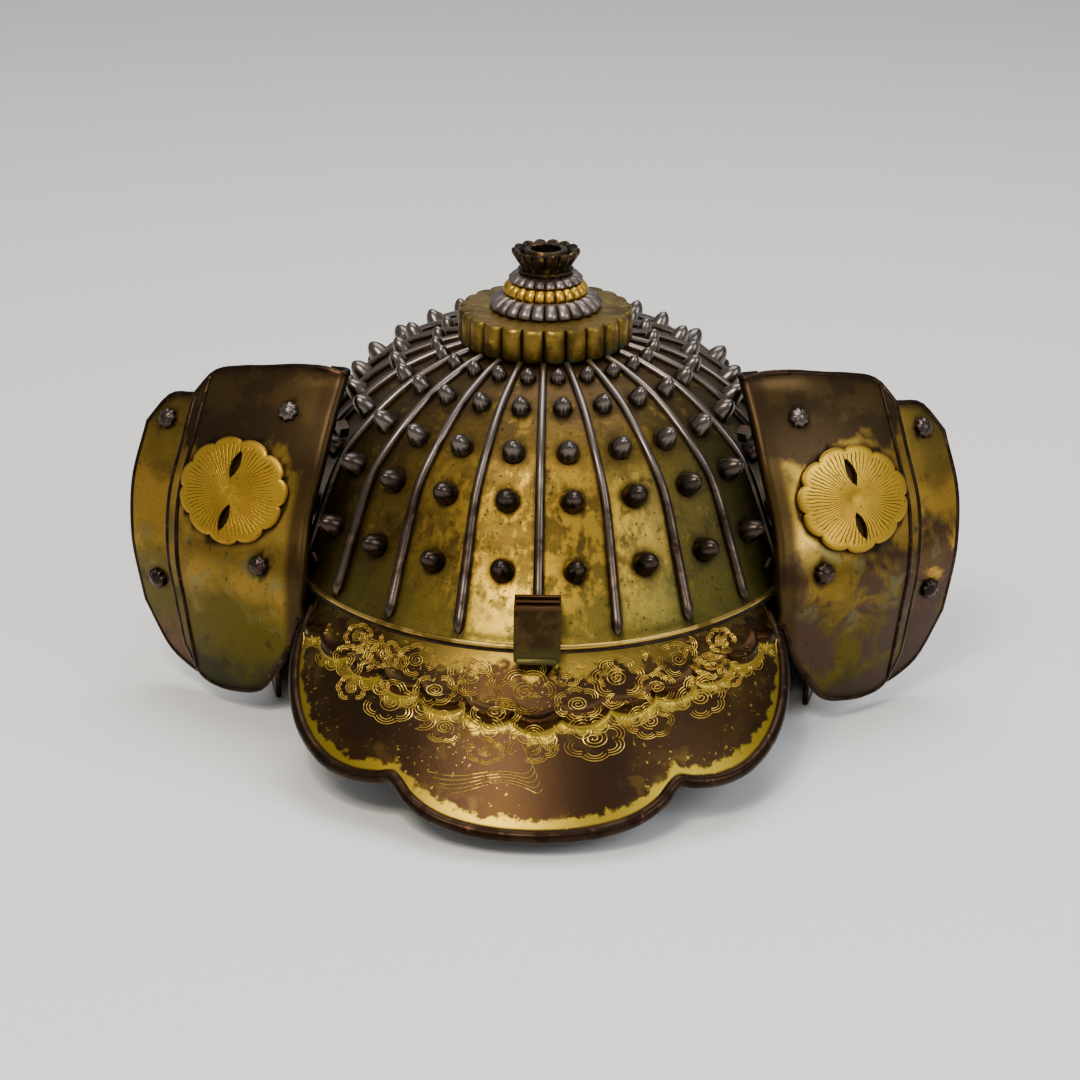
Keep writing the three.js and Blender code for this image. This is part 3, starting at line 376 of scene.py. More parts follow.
def mark(mesh, **marks):
    """Numbers on the points of a mesh, which the node trees and the materials read."""
    for key, numbers in marks.items():
        flat = np.asarray(numbers, float).ravel()
        vectors = len(flat) > len(mesh.vertices)
        kind, field = ("FLOAT_VECTOR", "vector") if vectors else ("FLOAT", "value")
        mesh.attributes.new(key, kind, "POINT").data.foreach_set(field, flat)


def grid_faces(columns, rows, start=0):
    return [(start + column * rows + row, start + (column + 1) * rows + row,
             start + (column + 1) * rows + row + 1, start + column * rows + row + 1)
            for column in range(columns - 1) for row in range(rows - 1)]


def sheet_shell(face, back):
    """A wall between two grids of points of the same size, closed round its edges."""
    columns, rows = face.shape[:2]
    points = np.concatenate([face.reshape(-1, 3), back.reshape(-1, 3)])
    other = columns * rows
    faces = grid_faces(columns, rows) + [tuple(reversed(quad)) for quad in grid_faces(columns, rows, other)]
    for column in range(columns - 1):
        for row in (0, rows - 1):
            a, b = column * rows + row, (column + 1) * rows + row
            quad = (a, other + a, other + b, b)
            faces.append(quad if row == 0 else tuple(reversed(quad)))
    for row in range(rows - 1):
        for column in (0, columns - 1):
            a = column * rows + row
            quad = (a, a + 1, other + a + 1, other + a)
            faces.append(quad if column == 0 else tuple(reversed(quad)))
    return points, faces


def ring_shell(profile):
    """A closed ring: profile is an array of steps round the axis by points of its section."""
    steps, rows = profile.shape[:2]
    points = profile.reshape(-1, 3)
    return points, [(step * rows + row, (step + 1) % steps * rows + row, (step + 1) % steps * rows + (row + 1) % rows,
                     step * rows + (row + 1) % rows) for step in range(steps) for row in range(rows)]


def tube_faces(rows, sides):
    """Faces between closed rings of points that follow one another."""
    return [(row * sides + side, row * sides + (side + 1) % sides, (row + 1) * sides + (side + 1) % sides,
             (row + 1) * sides + side) for row in range(rows - 1) for side in range(sides)]


def cone_faces(rows, sides):
    """Tube faces with a fan on the last ring and one on the first, round two points behind the rings."""
    faces, top = tube_faces(rows, sides), rows * sides
    for side in range(sides):
        following = (side + 1) % sides
        faces.append((top - sides + side, top - sides + following, top))
        faces.append((following, side, top + 1))
    return faces


def offset_grid(grid, depth):
    """A grid moved along its own normals."""
    along = np.gradient(grid, axis=0)
    up = np.gradient(grid, axis=1)
    return grid + unit(np.cross(along, up)) * depth


def new_mesh(name, points, faces):
    mesh = bpy.data.meshes.new(name)
    mesh.from_pydata(in_row(points), [], outwards(np.asarray(points, float), faces))
    mesh.update()
    return mesh


def finish_piece(name, mesh, material, nodes=(), sharp=32):
    """A mesh becomes a named piece of the helmet that stands for the given nodes."""
    if material is not None and not mesh.materials:
        mesh.materials.append(material)
    mesh.polygons.foreach_set("use_smooth", [True] * len(mesh.polygons))
    mesh.set_sharp_from_angle(angle=math.radians(sharp))
    piece = put(name, mesh)
    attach(piece, "root")
    if nodes:
        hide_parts(*nodes)
    return piece


def solid(name, shape, material, nodes=(), sharp=32, values=None):
    mesh = new_mesh(name, *shape)
    mark(mesh, **(values or {}))
    return finish_piece(name, mesh, material, nodes, sharp)


def mirror_shape(points, faces):
    return np.asarray(points) * MIRROR, [tuple(reversed(face)) for face in faces]


def joined(*shapes):
    points, faces, start = [], [], 0
    for shape_points, shape_faces in shapes:
        points.append(np.asarray(shape_points, float))
        faces += [tuple(index + start for index in face) for face in shape_faces]
        start += len(shape_points)
    return np.concatenate(points), faces


def add(tree, kind, inputs=None, **settings):
    """Adds a node with its settings, and links or sets its inputs."""
    item = tree.nodes.new(kind)
    for key, value in settings.items():
        setattr(item, key, value)
    for key, value in (inputs or {}).items():
        if isinstance(value, bpy.types.NodeSocket):
            tree.links.new(value, item.inputs[key])
        else:
            item.inputs[key].default_value = value
    return item


def new_tree(name, sockets):
    """A geometry tree with these inputs, and the function that ends it: made real and given its finish."""
    tree = bpy.data.node_groups.new(name, "GeometryNodeTree")
    tree.interface.new_socket("Geometry", in_out="INPUT", socket_type="NodeSocketGeometry")
    tree.interface.new_socket("Geometry", in_out="OUTPUT", socket_type="NodeSocketGeometry")
    for label, kind in (*sockets, ("Finish", "NodeSocketMaterial")):
        tree.interface.new_socket(label, in_out="INPUT", socket_type=kind)
    given = add(tree, "NodeGroupInput").outputs

    def end(shape):
        real = add(tree, "GeometryNodeRealizeInstances", {"Geometry": shape.outputs[0]})
        dressed = add(tree, "GeometryNodeSetMaterial", {"Geometry": real.outputs[0], "Material": given["Finish"]})
        add(tree, "NodeGroupOutput", {"Geometry": dressed.outputs[0]})
        return tree

    return tree, given, end


def sized(tree, mark_name, size):
    """A size times the share that each point carries under this name."""
    share = add(tree, "GeometryNodeInputNamedAttribute", {"Name": mark_name}, data_type="FLOAT")
    return add(tree, "ShaderNodeMath", {0: share.outputs["Attribute"], 1: size}, operation="MULTIPLY").outputs[0]


def bead_tree():
    """A round bead along each chain of edges, with its thickness from the points."""
    tree, given, end = new_tree("bead_along_path", [("Radius", "NodeSocketFloat"), ("Sides", "NodeSocketInt")])
    path = add(tree, "GeometryNodeMeshToCurve", {"Mesh": given["Geometry"]})
    section = add(tree, "GeometryNodeCurvePrimitiveCircle", {"Resolution": given["Sides"], "Radius": 1.0})
    return end(add(tree, "GeometryNodeCurveToMesh", {
        "Curve": path.outputs[0], "Profile Curve": section.outputs[0], "Fill Caps": True,
        "Scale": sized(tree, "girth", given["Radius"])}))


def head_tree():
    """A copy of one rivet head on every point, turned along the facing and sized by the point."""
    tree, given, end = new_tree("heads_on_points", [("Head", "NodeSocketObject"), ("Size", "NodeSocketFloat")])
    facing = add(tree, "GeometryNodeInputNamedAttribute", {"Name": "facing"}, data_type="FLOAT_VECTOR")
    turn = add(tree, "FunctionNodeAlignRotationToVector", {"Vector": facing.outputs["Attribute"]}, axis="Z")
    head = add(tree, "GeometryNodeObjectInfo", {"Object": given["Head"], "As Instance": True})
    seats = add(tree, "GeometryNodeMeshToPoints", {"Mesh": given["Geometry"]})
    return end(add(tree, "GeometryNodeInstanceOnPoints", {
        "Points": seats.outputs[0], "Instance": head.outputs["Geometry"], "Rotation": turn.outputs[0],
        "Scale": sized(tree, "share", given["Size"])}))


def grown(name, source, tree, values):
    """The plain mesh that a tree makes of a source mesh."""
    carrier = put(name, source)
    modifier = carrier.modifiers.new(tree.name, "NODES")
    modifier.node_group = tree
    for item in tree.interface.items_tree:
        if item.in_out == "INPUT" and item.name in values:
            modifier[item.identifier] = values[item.name]
    return plain_mesh(name, carrier)


BEADS = bead_tree()
HEADS = head_tree()


def beads(name, paths, radius, material, sides=12, nodes=(), sharp=40, closed=False):
    """Round beads along paths. A path is its points and a girth share for each, or for all of them."""
    points, edges, girths = [], [], []
    for line, girth in paths:
        first, count = len(points), len(line)
        points += list(line)
        girths += list(np.broadcast_to(girth, count))
        edges += [(first + index, first + (index + 1) % count) for index in range(count if closed else count - 1)]
    source = bpy.data.meshes.new(name + "_path")
    source.from_pydata(in_row(points), edges, [])
    mark(source, girth=girths)
    mesh = grown(name, source, BEADS, {"Radius": radius * MM, "Sides": sides, "Finish": material})
    return finish_piece(name, mesh, material, nodes, sharp)


def heads(name, head, places, facings, shares, material, nodes=(), sharp=40):
    """Rivet heads of one shape at places, each turned along its facing."""
    source = bpy.data.meshes.new(name + "_seats")
    source.from_pydata(in_row(places), [], [])
    mark(source, facing=facings, share=shares)
    points, faces = head
    pattern = bpy.data.meshes.new(name + "_head")
    pattern.from_pydata((points * MM).tolist(), [], outwards(points, faces))
    model = put(name + "_head", pattern)
    mesh = grown(name, source, HEADS, {"Head": model, "Size": 1.0, "Finish": material})
    bpy.data.objects.remove(model)
    return finish_piece(name, mesh, material, nodes, sharp)


def lathe_head(profile, sides, lobes=0, depth=0.0):
    """A rivet head turned from a profile of radius and height, whose rim may be lobed."""
    rings = []
    for radius, height in profile:
        angle = round_angles(sides)
        reach = radius * (1 - depth * (0.5 + 0.5 * np.cos(lobes * angle))) if lobes else radius + 0 * angle
        rings.append(np.stack([reach * np.cos(angle), reach * np.sin(angle), height + 0 * angle], -1))
    points = np.concatenate(rings + [np.array([[0, 0, profile[-1][1] + 0.25]]), np.array([[0, 0, profile[0][1]]])])
    return points, cone_faces(len(profile), sides)


# ---------------------------------------------------------------- finishes

def linear(code):
    """An sRGB hex colour as linear RGBA."""
    parts = [int(code[index:index + 2], 16) / 255 for index in (0, 2, 4)]
    return tuple(part / 12.92 if part <= 0.04045 else ((part + 0.055) / 1.055) ** 2.4 for part in parts) + (1.0,)


class Finish:
    """A material being put together on one Principled shader, read from Object coordinates in metres."""

    def __init__(self, name, colour, roughness, metallic=1.0):
        self.material = bpy.data.materials.new(name)
        self.material.use_nodes = True
        self.tree = self.material.node_tree
        self.shader = self.tree.nodes["Principled BSDF"]
        self.shader.inputs["Metallic"].default_value = metallic
        self.place = add(self.tree, "ShaderNodeTexCoord").outputs["Object"]
        self.colour, self.roughness, self.bump = linear(colour), roughness, None

    def noise(self, size_mm, detail, seed, stretch=(1, 1, 1), distortion=0.0):
        """Noise whose blotches are about size_mm across, shorter along an axis with a larger stretch."""
        place = add(self.tree, "ShaderNodeMapping", {
            "Vector": self.place, "Location": (seed, seed * 0.7, -seed), "Scale": stretch}).outputs[0]
        return add(self.tree, "ShaderNodeTexNoise", {
            "Vector": place, "Scale": 1 / MM / size_mm, "Detail": detail, "Roughness": 0.55,
            "Distortion": distortion}).outputs["Fac"]

    def read(self, source):
        """What to go by: an axis, a mark on the points, noise of a size, detail and seed, or a value as it is."""
        if isinstance(source, tuple):
            return self.noise(*source)
        if not isinstance(source, str):
            return source
        if source in "XYZ":
            return add(self.tree, "ShaderNodeSeparateXYZ", {"Vector": self.place}).outputs[source]
        return add(self.tree, "ShaderNodeAttribute", attribute_name=source).outputs["Fac"]

    def ramp(self, source, low, high, floor=0.0, ceiling=1.0):
        """Floor at the low value and ceiling at the high one, eased between them. Low may be the larger."""
        return add(self.tree, "ShaderNodeMapRange", {
            "Value": self.read(source), "From Min": low, "From Max": high, "To Min": floor, "To Max": ceiling},
            interpolation_type="SMOOTHSTEP").outputs[0]

    def math(self, operation, first, second=0.0):
        return add(self.tree, "ShaderNodeMath", {0: self.read(first), 1: self.read(second)},
                   operation=operation).outputs[0]

    def both(self, first, second):
        return self.math("MULTIPLY", first, second)

    def blend(self, factor, colour, roughness):
        """Lays another colour and its roughness over the finish where the factor is 1."""
        self.colour = add(self.tree, "ShaderNodeMix", {
            0: factor, 6: self.colour, 7: linear(colour)}, data_type="RGBA").outputs[2]
        self.roughness = add(self.tree, "ShaderNodeMix", {
            0: factor, 2: self.roughness, 3: roughness}, data_type="FLOAT").outputs[0]

    def stain(self, source, low, high, colour, roughness, most=1.0):
        """Another colour, at most this much of it, where the source has gone from low to high."""
        self.blend(self.ramp(source, low, high, 0.0, most), colour, roughness)

    def relief(self, source, depth_mm, strength):
        """Low relief from a value of 0 to 1 that stands for depth_mm."""
        inputs = {"Height": self.read(source), "Distance": depth_mm * MM, "Strength": strength}
        if self.bump is not None:
            inputs["Normal"] = self.bump
        self.bump = add(self.tree, "ShaderNodeBump", inputs).outputs[0]
        return self

    def done(self):
        for key, value in (("Base Color", self.colour), ("Roughness", self.roughness), ("Normal", self.bump)):
            if value is not None:
                self.tree.links.new(value, self.shader.inputs[key])
        return self.material


def metal(name, colour, roughness, stains, pits=None, metallic=1.0):
    """A metal of one colour with stains laid over it in turn, and pits as fine relief."""
    finish = Finish(name, colour, roughness, metallic)
    for stain in stains:
        finish.stain(*stain)
    if pits:
        finish.relief(*pits)
    return finish.done()


def aged_brass_plate():
    """Rolled brass plate, gilt once: olive and brown where it has tarnished, darker towards the sides, the back, the
    top and the foot, with a painted highlight of bright gold down the front middle.
    """
    finish = Finish("aged brass plate, tarnished olive", "7f6527", 0.36)
    cloud = finish.noise(15, 7, 1.7, distortion=0.5)
    streak = finish.noise(5, 6, 3.1, stretch=(1.8, 1.8, 0.16))
    brushed = finish.noise(1.8, 4, 6.6, stretch=(2.2, 2.2, 0.12))
    fine = finish.noise(1.5, 3, 5.0)
    side = finish.math("ABSOLUTE", "X")
    finish.stain(finish.noise(42, 6, 0.31, distortion=0.6), 0.42, 0.6, "5b4a1d", 0.42, 0.75)
    finish.stain(cloud, 0.5, 0.64, "47361a", 0.46, 0.7)
    finish.stain(streak, 0.53, 0.68, "9a7c31", 0.33, 0.6)
    finish.stain("X", 0.01, 0.085, "41452a", 0.44, 0.75)
    finish.stain("X", -0.015, -0.085, "3e3217", 0.42, 0.75)
    finish.stain("Y", -0.04, 0.06, "42371f", 0.48, 0.6)
    finish.stain("Z", 0.105, 0.136, "413120", 0.42, 0.82)
    # Painted highlight: bright gold down the front middle below the top, broken up by streaky noise
    worn = finish.math("ADD", (14, 7, 8.2), finish.ramp(streak, 0.35, 0.65, -0.07, 0.07))
    painted_highlight = finish.both(finish.ramp(side, 0.056, 0.004), finish.ramp(worn, 0.42, 0.58))
    finish.blend(finish.both(painted_highlight, finish.ramp("Z", 0.128, 0.09)), "c29b34", 0.28)
    finish.stain((8, 7, 7.1), 0.58, 0.66, "9d7f2d", 0.31, 0.4)
    finish.stain((6, 8, 4.4), 0.6, 0.68, "32270f", 0.5, 0.6)
    finish.stain("Z", 0.084, 0.066, "5f5723", 0.4, 0.6)
    finish.stain(brushed, 0.56, 0.72, "33280f", 0.46, 0.35)
    # Dirt and painted shade round the rivets, along the rods and over the inside of the plates
    finish.blend(finish.both("dirt_and_shade", finish.ramp(cloud, 0.25, 0.6, 0.7, 1)), "1d150d", 0.6)
    finish.stain(fine, 0.62, 0.69, "2c200e", 0.6, 0.7)
    finish.relief(fine, 0.06, 0.5).relief(brushed, 0.05, 0.4).relief(cloud, 0.35, 0.5)
    return finish.done()


PLATE_BRASS = aged_brass_plate()

# Turned edge of the bowl, painted pale as a highlight line, darker towards the back
FLANGE_BRASS = metal("brass edge, pale painted highlight", "b0934a", 0.3, [
    ((16, 6, 2.3), 0.48, 0.58, "6b5526", 0.42),
    ("Y", -0.07, -0.02, "4d401f", 0.45, 0.7),
], ((1.6, 3, 1.0), 0.05, 0.5))

# Forged iron rod, russet black, painted lighter steel grey towards the top as its highlight
ROD = metal("russet iron rod, painted highlight at top", "54483d", 0.29, [
    ((11, 5, 0.4), 0.45, 0.65, "2d221c", 0.48),
    # Painted highlight: lighter steel grey on the upper part of each rod
    ("Z", 0.095, 0.135, "7f746c", 0.27, 0.8),
    ((5, 4, 2.0), 0.56, 0.7, "7b6350", 0.34, 0.5),
], ((2.4, 3, 1.0), 0.08, 0.5))

# Iron rivet heads, russet black and polished, painted lighter grey on the upper rows as their highlight
HEAD = metal("russet iron rivet head, polished, painted highlight at top", "3f342e", 0.27, [
    ((8, 4, 0.9), 0.45, 0.66, "2a211b", 0.38),
    # Painted highlight: lighter grey on the heads of the upper rows
    ("Z", 0.1, 0.132, "6f665f", 0.25, 0.85),
], ((1.8, 3, 1.0), 0.05, 0.45))

# Lacquered iron band, nearly black, with brown rub marks
IRON = metal("black lacquered iron", "2a221b", 0.42, [
    ((12, 5, 0.6), 0.5, 0.68, "4a3523", 0.5),
], ((2.0, 3, 1.4), 0.06, 0.5), metallic=0.9)

# Bound edge of copper, dark brown, with lighter brown flecks painted in as its highlight
RIM = metal("brown patinated copper rim", "31241a", 0.34, [
    ((9, 5, 0.2), 0.46, 0.6, "241811", 0.46),
    # Painted highlight: lighter brown flecks
    ((4, 5, 4.4), 0.6, 0.68, "634530", 0.32, 0.5),
], ((2.2, 3, 1.0), 0.06, 0.5))


def peak_plate():
    """Copper plate with a brown patina, gilding left in the hollows and inside the rim."""
    finish = Finish("brown patinated copper, gilding worn", "3b2917", 0.37)
    blotch = finish.noise(30, 6, 0.7, distortion=0.7)
    speck = finish.noise(1.9, 5, 2.7)
    finish.stain(blotch, 0.47, 0.6, "4b371b", 0.42, 0.8)
    finish.stain((14, 7, 6.3), 0.56, 0.64, "665023", 0.4, 0.55)
    finish.stain((50, 4, 9.0), 0.45, 0.6, "30221a", 0.35, 0.65)
    middle = finish.ramp(finish.math("ABSOLUTE", "X"), 0.065, 0.015)
    root = finish.math("ADD", "root", finish.ramp((8, 6, 7.7), 0.25, 0.75, -4.5, 4.5))
    finish.blend(finish.both(finish.ramp(root, 6.5, 3.5), middle), "947a2c", 0.36)
    finish.stain(root, 2.6, 0.6, "6f5c2a", 0.4, 0.6)
    field = finish.read("field")
    under = finish.math("ADD", field, finish.ramp((5, 5, 1.3), 0.25, 0.75, -1.5, 1.5))
    finish.blend(finish.both(finish.ramp(under, -2.9, -1.5), finish.ramp(field, 0.5, -0.4)), "a38b2c", 0.35)
    finish.blend(finish.both(finish.ramp(field, -0.2, 0.5), finish.ramp(field, 5.2, 3.0)), "33210f", 0.36)
    edge = finish.read("edge")
    ragged = finish.math("ADD", edge, finish.ramp((5, 7, 3.3), 0.25, 0.75, -1.5, 1.5))
    finish.blend(finish.both(finish.ramp(ragged, 5.0, 3.7), finish.ramp(edge, 1.7, 2.4)), "9f8527", 0.36)
    finish.blend(finish.both(finish.ramp(speck, 0.63, 0.66), finish.ramp(blotch, 0.42, 0.56)), "a58c38", 0.34)
    finish.relief((1.5, 3, 5.0), 0.05, 0.5).relief(blotch, 0.3, 0.4)
    return finish.done()


PEAK_COPPER = peak_plate()

# Engraved line with its gilding left in it
GOLD_LINE = metal("gilding in engraved lines", "c9a748", 0.32, [
    ((7, 5, 0.8), 0.5, 0.66, "8a6a34", 0.42),
])


def wing_brass(outer):
    """Brass wing plate, copper brown towards the top, a painted highlight of bright gold across the middle and olive
    below.
    """
    name = "brass wing plate, outer" if outer else "brass wing plate, brown topped"
    finish = Finish(name, "846829", 0.33)
    rough = finish.noise(22, 7, 1.9)
    brushed = finish.noise(1.8, 4, 6.6, stretch=(2.2, 2.2, 0.12))
    level = finish.math("ADD", "Z", finish.ramp(rough, 0.25, 0.75, -0.011, 0.011))
    finish.stain(finish.noise(15, 7, 0.3, distortion=0.4), 0.46, 0.64, "5c4a23", 0.4, 0.6)
    finish.stain(level, 0.068, 0.04, "4f4516", 0.33)
    finish.stain(level, 0.03, 0.012, "2f3021", 0.5, 0.85)
    if outer:
        finish.stain(level, 0.1, 0.118, "544a20", 0.35, 0.85)
        # Painted highlight: a bright gold band across the middle of the outer plate
        finish.blend(finish.both(finish.ramp(level, 0.05, 0.066), finish.ramp(level, 0.1, 0.084)), "b88d35", 0.27)
        finish.blend(finish.both(finish.ramp(level, 0.06, 0.045), finish.ramp(rough, 0.4, 0.55)), "59402c", 0.36)
    else:
        # Painted highlight: a bright gold band across the middle of the front plate
        finish.blend(finish.both(finish.ramp(level, 0.07, 0.086), finish.ramp(level, 0.106, 0.088)), "b38c39", 0.27)
        finish.stain(level, 0.103, 0.109, "3a2d1c", 0.37)
        finish.blend(finish.both(finish.ramp(level, 0.117, 0.124), finish.ramp(rough, 0.42, 0.5)), "4a3a21", 0.35)
    # The wing on the wearer's left is stained brown below, with a paler streak left in it
    left = finish.ramp("X", 0.0, 0.05)
    stain = finish.both(left, finish.ramp(finish.noise(24, 7, 4.1, distortion=0.8), 0.4, 0.52))
    finish.blend(finish.both(stain, finish.ramp(level, 0.084, 0.072, 0, 0.9)), "40302a", 0.32)
    pale = finish.both(finish.ramp((12, 7, 9.4), 0.54, 0.62, 0, 0.4), finish.ramp(level, 0.085, 0.07))
    finish.blend(finish.both(pale, finish.ramp(level, 0.04, 0.055)), "6c6d49", 0.5)
    finish.stain((7, 8, 6.4), 0.61, 0.69, "2f2218", 0.48, 0.5)
    finish.stain("fold", 0.3, 0.75, "36291a", 0.39, 0.9)
    finish.stain(brushed, 0.56, 0.72, "33270f", 0.44, 0.3)
    # Dirt and painted shade round the rivets and along the plate's edges, and painted shadow under each disc
    finish.stain("dirt_and_shade", 0.15, 0.8, "1f170f", 0.55, 0.92)
    finish.stain((1.6, 3, 5.6), 0.63, 0.7, "332515", 0.55, 0.6)
    finish.relief((1.5, 3, 5.0), 0.05, 0.4).relief(brushed, 0.05, 0.4)
    finish.relief((26, 3, 2.0), 0.5, 0.4)
    return finish.done()


WING_BRASS = wing_brass(False)
OUTER_BRASS = wing_brass(True)


def gilt_disc():
    """Gilt disc chased with fine rays, bright with a few dark specks."""
    finish = Finish("gilt copper, ray chased", "c2982e", 0.35)
    chart = add(finish.tree, "ShaderNodeUVMap", uv_map="rays").outputs[0]
    parts = add(finish.tree, "ShaderNodeSeparateXYZ", {"Vector": chart})
    ragged = finish.math("ADD", parts.outputs["X"], finish.ramp((9, 3, 1.0), 0.2, 0.8, -0.006, 0.006))
    wave = finish.math("PINGPONG", finish.math("MULTIPLY", ragged, 66.0), 0.5)
    ray = finish.both(finish.ramp(wave, 0.2, 0.05), finish.ramp(parts.outputs["Y"], 0.93, 0.8))
    ray = finish.both(ray, finish.ramp(parts.outputs["Y"], 0.04, 0.14))
    finish.stain((11, 5, 0.5), 0.48, 0.68, "b3842a", 0.4, 0.7)
    finish.blend(finish.both(ray, finish.ramp((6, 3, 9.1), 0.3, 0.6, 0.5, 1)), "4f3710", 0.55)
    finish.stain((1.5, 3, 3.0), 0.64, 0.71, "5e4418", 0.6, 0.8)
    finish.stain("edge", 1.2, 0.2, "5a3f1c", 0.5, 0.75)
    finish.relief(ray, -0.12, 0.7).relief((1.4, 3, 2.0), 0.04, 0.5)
    return finish.done()


DISC_GILT = gilt_disc()


def crown_brass():
    """Cast brass drum, filed and stippled, olive brown with a little verdigris low at the front."""
    finish = Finish("cast brass, stippled olive", "80672c", 0.42)
    finish.stain((12, 6, 0.4), 0.46, 0.64, "54451f", 0.52)
    finish.stain((5, 5, 2.2), 0.56, 0.68, "a98c3a", 0.34, 0.8)
    finish.blend(finish.both(finish.ramp("Z", 0.1465, 0.142), finish.ramp((7, 4, 6.0), 0.5, 0.6)), "3f5f55", 0.7)
    # Dirt and painted shade in the grooves between the scallops
    finish.stain("dirt_and_shade", 0.2, 1.0, "2c2313", 0.55, 0.85)
    finish.relief((1.3, 3, 5.0), 0.14, 0.8)
    return finish.done()


DRUM_BRASS = crown_brass()

# Silvered copper petals, dulled purple grey, darker between them with dirt and painted shade
SILVER = metal("silvered copper, dulled", "877b74", 0.34, [
    ((7, 5, 0.4), 0.48, 0.66, "5f524e", 0.44),
    ("dirt_and_shade", 0.2, 1.0, "33292a", 0.52, 0.9),
], ((1.2, 3, 5.0), 0.05, 0.5))

# Gilt petals, bright on their backs and brown between them with dirt and painted shade
PETAL_GILT = metal("gilt copper petals", "d2a63c", 0.3, [
    ((6, 5, 0.4), 0.52, 0.68, "9a7428", 0.4),
    ("dirt_and_shade", 0.2, 1.0, "463015", 0.5, 0.9),
], ((1.2, 3, 5.0), 0.05, 0.5))

# Cast bronze cup, almost black with brown edges
BRONZE = metal("dark cast bronze", "3b2f1e", 0.38, [
    ((5, 5, 0.4), 0.46, 0.64, "241b12", 0.5),
    ((3, 4, 2.4), 0.58, 0.7, "8a6a30", 0.32, 0.8),
], ((1.2, 3, 5.0), 0.08, 0.6))

# Brown copper block, rubbed red along its top edges and olive at its foot
SOCKET_COPPER = metal("brown patinated copper block", "362a18", 0.38, [
    ((7, 6, 0.9), 0.46, 0.64, "4a3a1f", 0.44),
    ((4, 5, 3.0), 0.58, 0.7, "2a1d13", 0.5, 0.8),
    ("Z", 0.0655, 0.061, "4d4a26", 0.45, 0.6),
    ("Z", 0.0775, 0.0787, "543a26", 0.33),
], ((1.4, 3, 5.0), 0.08, 0.6))

# ---------------------------------------------------------------- the bowl

PLATE_ANGLE = 2 * math.pi / PLATE_COUNT
RIVET_SINK = 0.2
ROD_RADIUS = 2.1
BULLET = [
    (4.8, 0), (4.75, 0.6), (4.65, 1.4), (4.45, 2.2), (4.1, 3.4), (3.7, 4.7), (3.0, 6.1), (2.2, 7.2), (1.35, 7.95),
    (0.6, 8.3),
]
RIB_END = rise_at_width(DRUM_RADIUS / BOWL_HALF_WIDTH * 0.98)
PLATE_NODES = [f"bowl_plate_{index:02d}" for index in range(PLATE_COUNT)]


def rivet_seats():
    """Place, facing and share of size of every rivet, sunk a little into its plate."""
    seats = [((index + 0.5) * PLATE_ANGLE, rise, share) for index in range(PLATE_COUNT) for rise, share in RIVET_ROWS]
    places = [bowl_point(rise, middle, -RIVET_SINK) for middle, rise, _ in seats]
    facings = [bowl_facing(rise, middle) for middle, rise, _ in seats]
    return np.array(places), np.array(facings), np.array([share for _, _, share in seats])


SEATS, SEAT_FACINGS, SEAT_SHARES = rivet_seats()


def plate_grid(index):
    """Outer and inner faces of one plate, from under its own rod to under the next one."""
    rises = np.concatenate([[0, 0.012, 0.028, 0.05], np.linspace(0.08, BOWL_TOP, 56)])
    shares = np.linspace(0, 1, 17)
    rise, share = np.meshgrid(rises, shares)
    angle = (index + share) * PLATE_ANGLE
    # The plates overlap like scales, and turn out a little in a lip along the rim
    lap = 0.55 * share ** 2 * smooth_step(0.97 - rise, 0, 0.2)
    lip = 1.1 * np.exp(-((rise * BOWL_RISE) / 2.2) ** 2)
    hollow = -0.35 * np.sin(math.pi * share) * smooth_step(0.9 - rise, 0, 0.3)
    face = bowl_point(rise, angle, lap + lip + hollow)
    back = bowl_point(rise, angle, lap - PLATE_WALL)
    for grid in (face, back):
        grid[:, 0, 2] = RIM_HEIGHT
    return face, back, share


def plate_dirt_and_shade(points, share):
    """Dirt and painted shade round the foot of each rivet and along both rods: 1 at them, gone a few mm away."""
    away = np.min(np.linalg.norm(points.reshape(-1, 1, 3) - SEATS[None], axis=2) / SEAT_SHARES, axis=1)
    beside = np.minimum(share.ravel(), 1 - share.ravel()) * 26
    round_rivets = np.exp(-np.maximum(away - 4.6, 0) / 1.7) * 0.9
    along_rods = np.exp(-np.maximum(beside - 1.6, 0) / 1.3) * 0.75
    return np.clip(round_rivets + along_rods, 0, 1)


def bowl_plates():
    shapes, dirt_and_shade_parts = [], []
    for index in range(PLATE_COUNT):
        face, back, share = plate_grid(index)
        shapes.append(sheet_shell(face, back))
        # Dirt and painted shade round the rivets and rods on the outer face, an even share of it on the inner face
        dirt_and_shade_parts += [plate_dirt_and_shade(face, share), np.full(share.size, 0.55)]
    solid("bowl_plates", joined(*shapes), PLATE_BRASS, PLATE_NODES,
          values={"dirt_and_shade": np.concatenate(dirt_and_shade_parts)})


def bowl_rods():
    """The raised rods between the plates, from just above the rim to under the drum, with rounded tips."""
    rises = np.concatenate([[0.02, 0.03, 0.045, 0.062, 0.08], np.linspace(0.1, RIB_END, 40)])
    girth = np.concatenate([[0.1, 0.46, 0.84, 1.04, 1.06], np.linspace(1.02, 0.72, 40)])
    paths = [(bowl_point(rises, index * PLATE_ANGLE, 1.1 * girth), girth) for index in range(PLATE_COUNT)]
    beads("bowl_rods", paths, ROD_RADIUS, ROD, sharp=50)


bowl_plates()
bowl_rods()
heads("bowl_rivets", lathe_head(BULLET, 20), SEATS, SEAT_FACINGS, SEAT_SHARES, HEAD)


def rim_oval(proud, height, count):
    """The oval of the bowl's rim, this much further out."""
    return oval(BOWL_HALF_WIDTH + proud, BOWL_HALF_WIDTH * RIM_LENGTH_RATIO + proud, round_angles(count), height)


